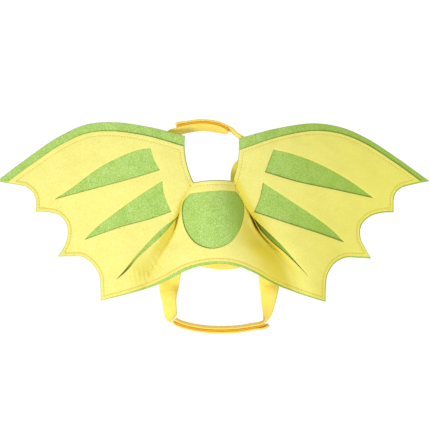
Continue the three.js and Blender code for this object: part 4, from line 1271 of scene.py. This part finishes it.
def stitch_tree(name, material):
    """A Geometry Nodes tree that sets stitches along a line of edges with an attribute up."""
    tree = bpy.data.node_groups.new(name, "GeometryNodeTree")
    face = tree.interface
    face.new_socket("Line", in_out="INPUT", socket_type="NodeSocketGeometry")
    for title in ("Pitch", "Length", "Thread", "Bow"):
        face.new_socket(title, in_out="INPUT", socket_type="NodeSocketFloat")
    face.new_socket("Stitches", in_out="OUTPUT", socket_type="NodeSocketGeometry")
    given = add_node(tree, "NodeGroupInput").outputs
    sunk = scaled(tree, given["Bow"], -1.0)
    ends = [
        add_node(tree, "ShaderNodeCombineXYZ", {"X": scaled(tree, given["Length"], side), "Z": sunk})
        for side in (-0.5, 0.5)]
    crown = add_node(tree, "ShaderNodeCombineXYZ", {"Z": given["Bow"]}).outputs["Vector"]
    bent = add_node(tree, "GeometryNodeCurveQuadraticBezier", {
        "Resolution": STITCH_BENDS, "Start": ends[0].outputs["Vector"], "Middle": crown,
        "End": ends[1].outputs["Vector"]})
    round_thread = add_node(tree, "GeometryNodeCurvePrimitiveCircle", {
        "Resolution": THREAD_SIDES, "Radius": scaled(tree, given["Thread"], 0.5)})
    one = add_node(tree, "GeometryNodeCurveToMesh", {
        "Curve": bent.outputs["Curve"], "Profile Curve": round_thread.outputs["Curve"], "Fill Caps": True})
    line = add_node(tree, "GeometryNodeMeshToCurve", {"Mesh": given["Line"]})
    steps = add_node(tree, "GeometryNodeResampleCurve", {
        "Curve": line.outputs["Curve"], "Length": given["Pitch"]}, mode="LENGTH")
    tangent = add_node(tree, "GeometryNodeInputTangent")
    up = add_node(tree, "GeometryNodeInputNamedAttribute", {"Name": "up"}, data_type="FLOAT_VECTOR")
    turned = add_node(tree, "FunctionNodeAlignRotationToVector", {
        "Vector": tangent.outputs["Tangent"]}, axis="X")
    turned = add_node(tree, "FunctionNodeAlignRotationToVector", {
        "Rotation": turned.outputs["Rotation"], "Vector": up.outputs["Attribute"]}, axis="Z", pivot_axis="X")
    placed = add_node(tree, "GeometryNodeInstanceOnPoints", {
        "Points": steps.outputs["Curve"], "Instance": one.outputs["Mesh"],
        "Rotation": turned.outputs["Rotation"]})
    real = add_node(tree, "GeometryNodeRealizeInstances", {"Geometry": placed.outputs["Instances"]})
    smooth = add_node(tree, "GeometryNodeSetShadeSmooth", {"Geometry": real.outputs["Geometry"]})
    dyed = add_node(tree, "GeometryNodeSetMaterial", {
        "Geometry": smooth.outputs["Geometry"], "Material": material})
    add_node(tree, "NodeGroupOutput", {"Stitches": dyed.outputs["Geometry"]})
    return tree


stitching = stitch_tree("machine_stitching", thread)
print("stitch tree nodes:", len(stitching.nodes))

# %% Stitches on a line
def stitches(name, line, ups, sizes):
    """Stitches along a line of points in millimetres, as one plain mesh; sizes are the tree's inputs."""
    path = bpy.data.meshes.new(name + "_line")
    pairs = [(k, k + 1) for k in range(len(line) - 1)]
    path.from_pydata((line * MM).tolist(), pairs, [])
    up = path.attributes.new("up", "FLOAT_VECTOR", "POINT")
    up.data.foreach_set("vector", ups.astype(np.float32).ravel())
    carrier = bpy.data.objects.new(name + "_line", path)
    scene.collection.objects.link(carrier)
    maker = carrier.modifiers.new("stitches", "NODES")
    maker.node_group = stitching
    for socket in stitching.interface.items_tree:
        if socket.name in sizes:
            maker[socket.identifier] = sizes[socket.name] * MM
    seen = carrier.evaluated_get(bpy.context.evaluated_depsgraph_get())
    mesh = bpy.data.meshes.new_from_object(seen)
    mesh.name = name
    made = bpy.data.objects.new(name, mesh)
    scene.collection.objects.link(made)
    bpy.data.objects.remove(carrier)
    print(name, "faces:", len(mesh.polygons))
    return made


def felt_up(points):
    """Upright direction of the felt at each point."""
    along_x, along_y = felt_slope(points[:, 0], points[:, 1])
    return unit(np.column_stack([-along_x, -along_y, np.ones(len(points))]))


STITCH = {"Pitch": STITCH_PITCH, "Length": 2.3, "Thread": 0.55, "Bow": 0.22}
# How far the thread's middle is sunk into the pressed front, and its level below the backing
THREAD_SINK, UNDER_LEVEL = 0.28, -0.12

above = on_felt(stitch_line, 2 * FELT + GAP - THREAD_SINK)
edge_stitches = stitches("edge_stitching", above, felt_up(stitch_line), STITCH)
below = on_felt(stitch_line, UNDER_LEVEL)
under_stitches = stitches("edge_stitching_under", below, -felt_up(stitch_line), STITCH)

# %% [markdown]
# ## Hand over to the frame
# Every piece rides on the part's one body. The felts, tapes and pads take the place of their solids; the
# stitches have none. The two felts are cloth: the size each was cut to is measured along the arch and over
# the crests, and printed.

stand_ins = {
    backing: ("wing_backing", "green_felt"),
    front: ("wing_front", "yellow_felt"),
    neck_pieces[0]: ("neck_strap_right", "strap_tape"),
    neck_pieces[1]: ("neck_strap_left", "strap_tape"),
    neck_pieces[2]: ("neck_fastener", "hook_pad"),
    belly_pieces[0]: ("belly_strap_left", "strap_tape"),
    belly_pieces[1]: ("belly_strap_right", "strap_tape"),
    belly_pieces[2]: ("belly_fastener", "hook_pad"),
    back_strap: ("belly_strap_back", "strap_tape")}
for piece, (solid, finish) in stand_ins.items():
    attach(piece, "root")
    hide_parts(solid)
threads = (edge_stitches, under_stitches)
for piece in threads:
    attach(piece, "root")
print("pieces:", len(stand_ins) + len(threads))

# %% Cut sizes of the felts
# Where the line from tip to tip goes over the neck end of the panel: x, y
SHOULDERS = [(-20.0, 40.0), (20.0, 40.0)]


def laid_length(places):
    """Length in metres over the lying felt, along straight lines from place to place."""
    path = on_felt(evenly(places, LINE_STEP), 0)
    return distances(path)[-1] * MM


def cut_size(loop):
    """Span from tip to tip, over both shoulders, and depth from a wing's top edge to the tail, in metres."""
    left_tip, right_tip = loop[np.argmin(loop[:, 0])], loop[np.argmax(loop[:, 0])]
    left_wing = loop[loop[:, 0] < 0]
    top, tail = left_wing[np.argmax(left_wing[:, 1])], left_wing[np.argmin(left_wing[:, 1])]
    return laid_length([left_tip, *SHOULDERS, right_tip]), laid_length([top, tail])


for piece, loop in ((backing, backing_loop), (front, front_loop)):
    both_faces = sum(polygon.area for polygon in piece.data.polygons)
    print(piece.name, "span and depth in metres:", np.round(cut_size(loop), 3))
    print(piece.name, "area in square metres:", round(both_faces / 2, 4))
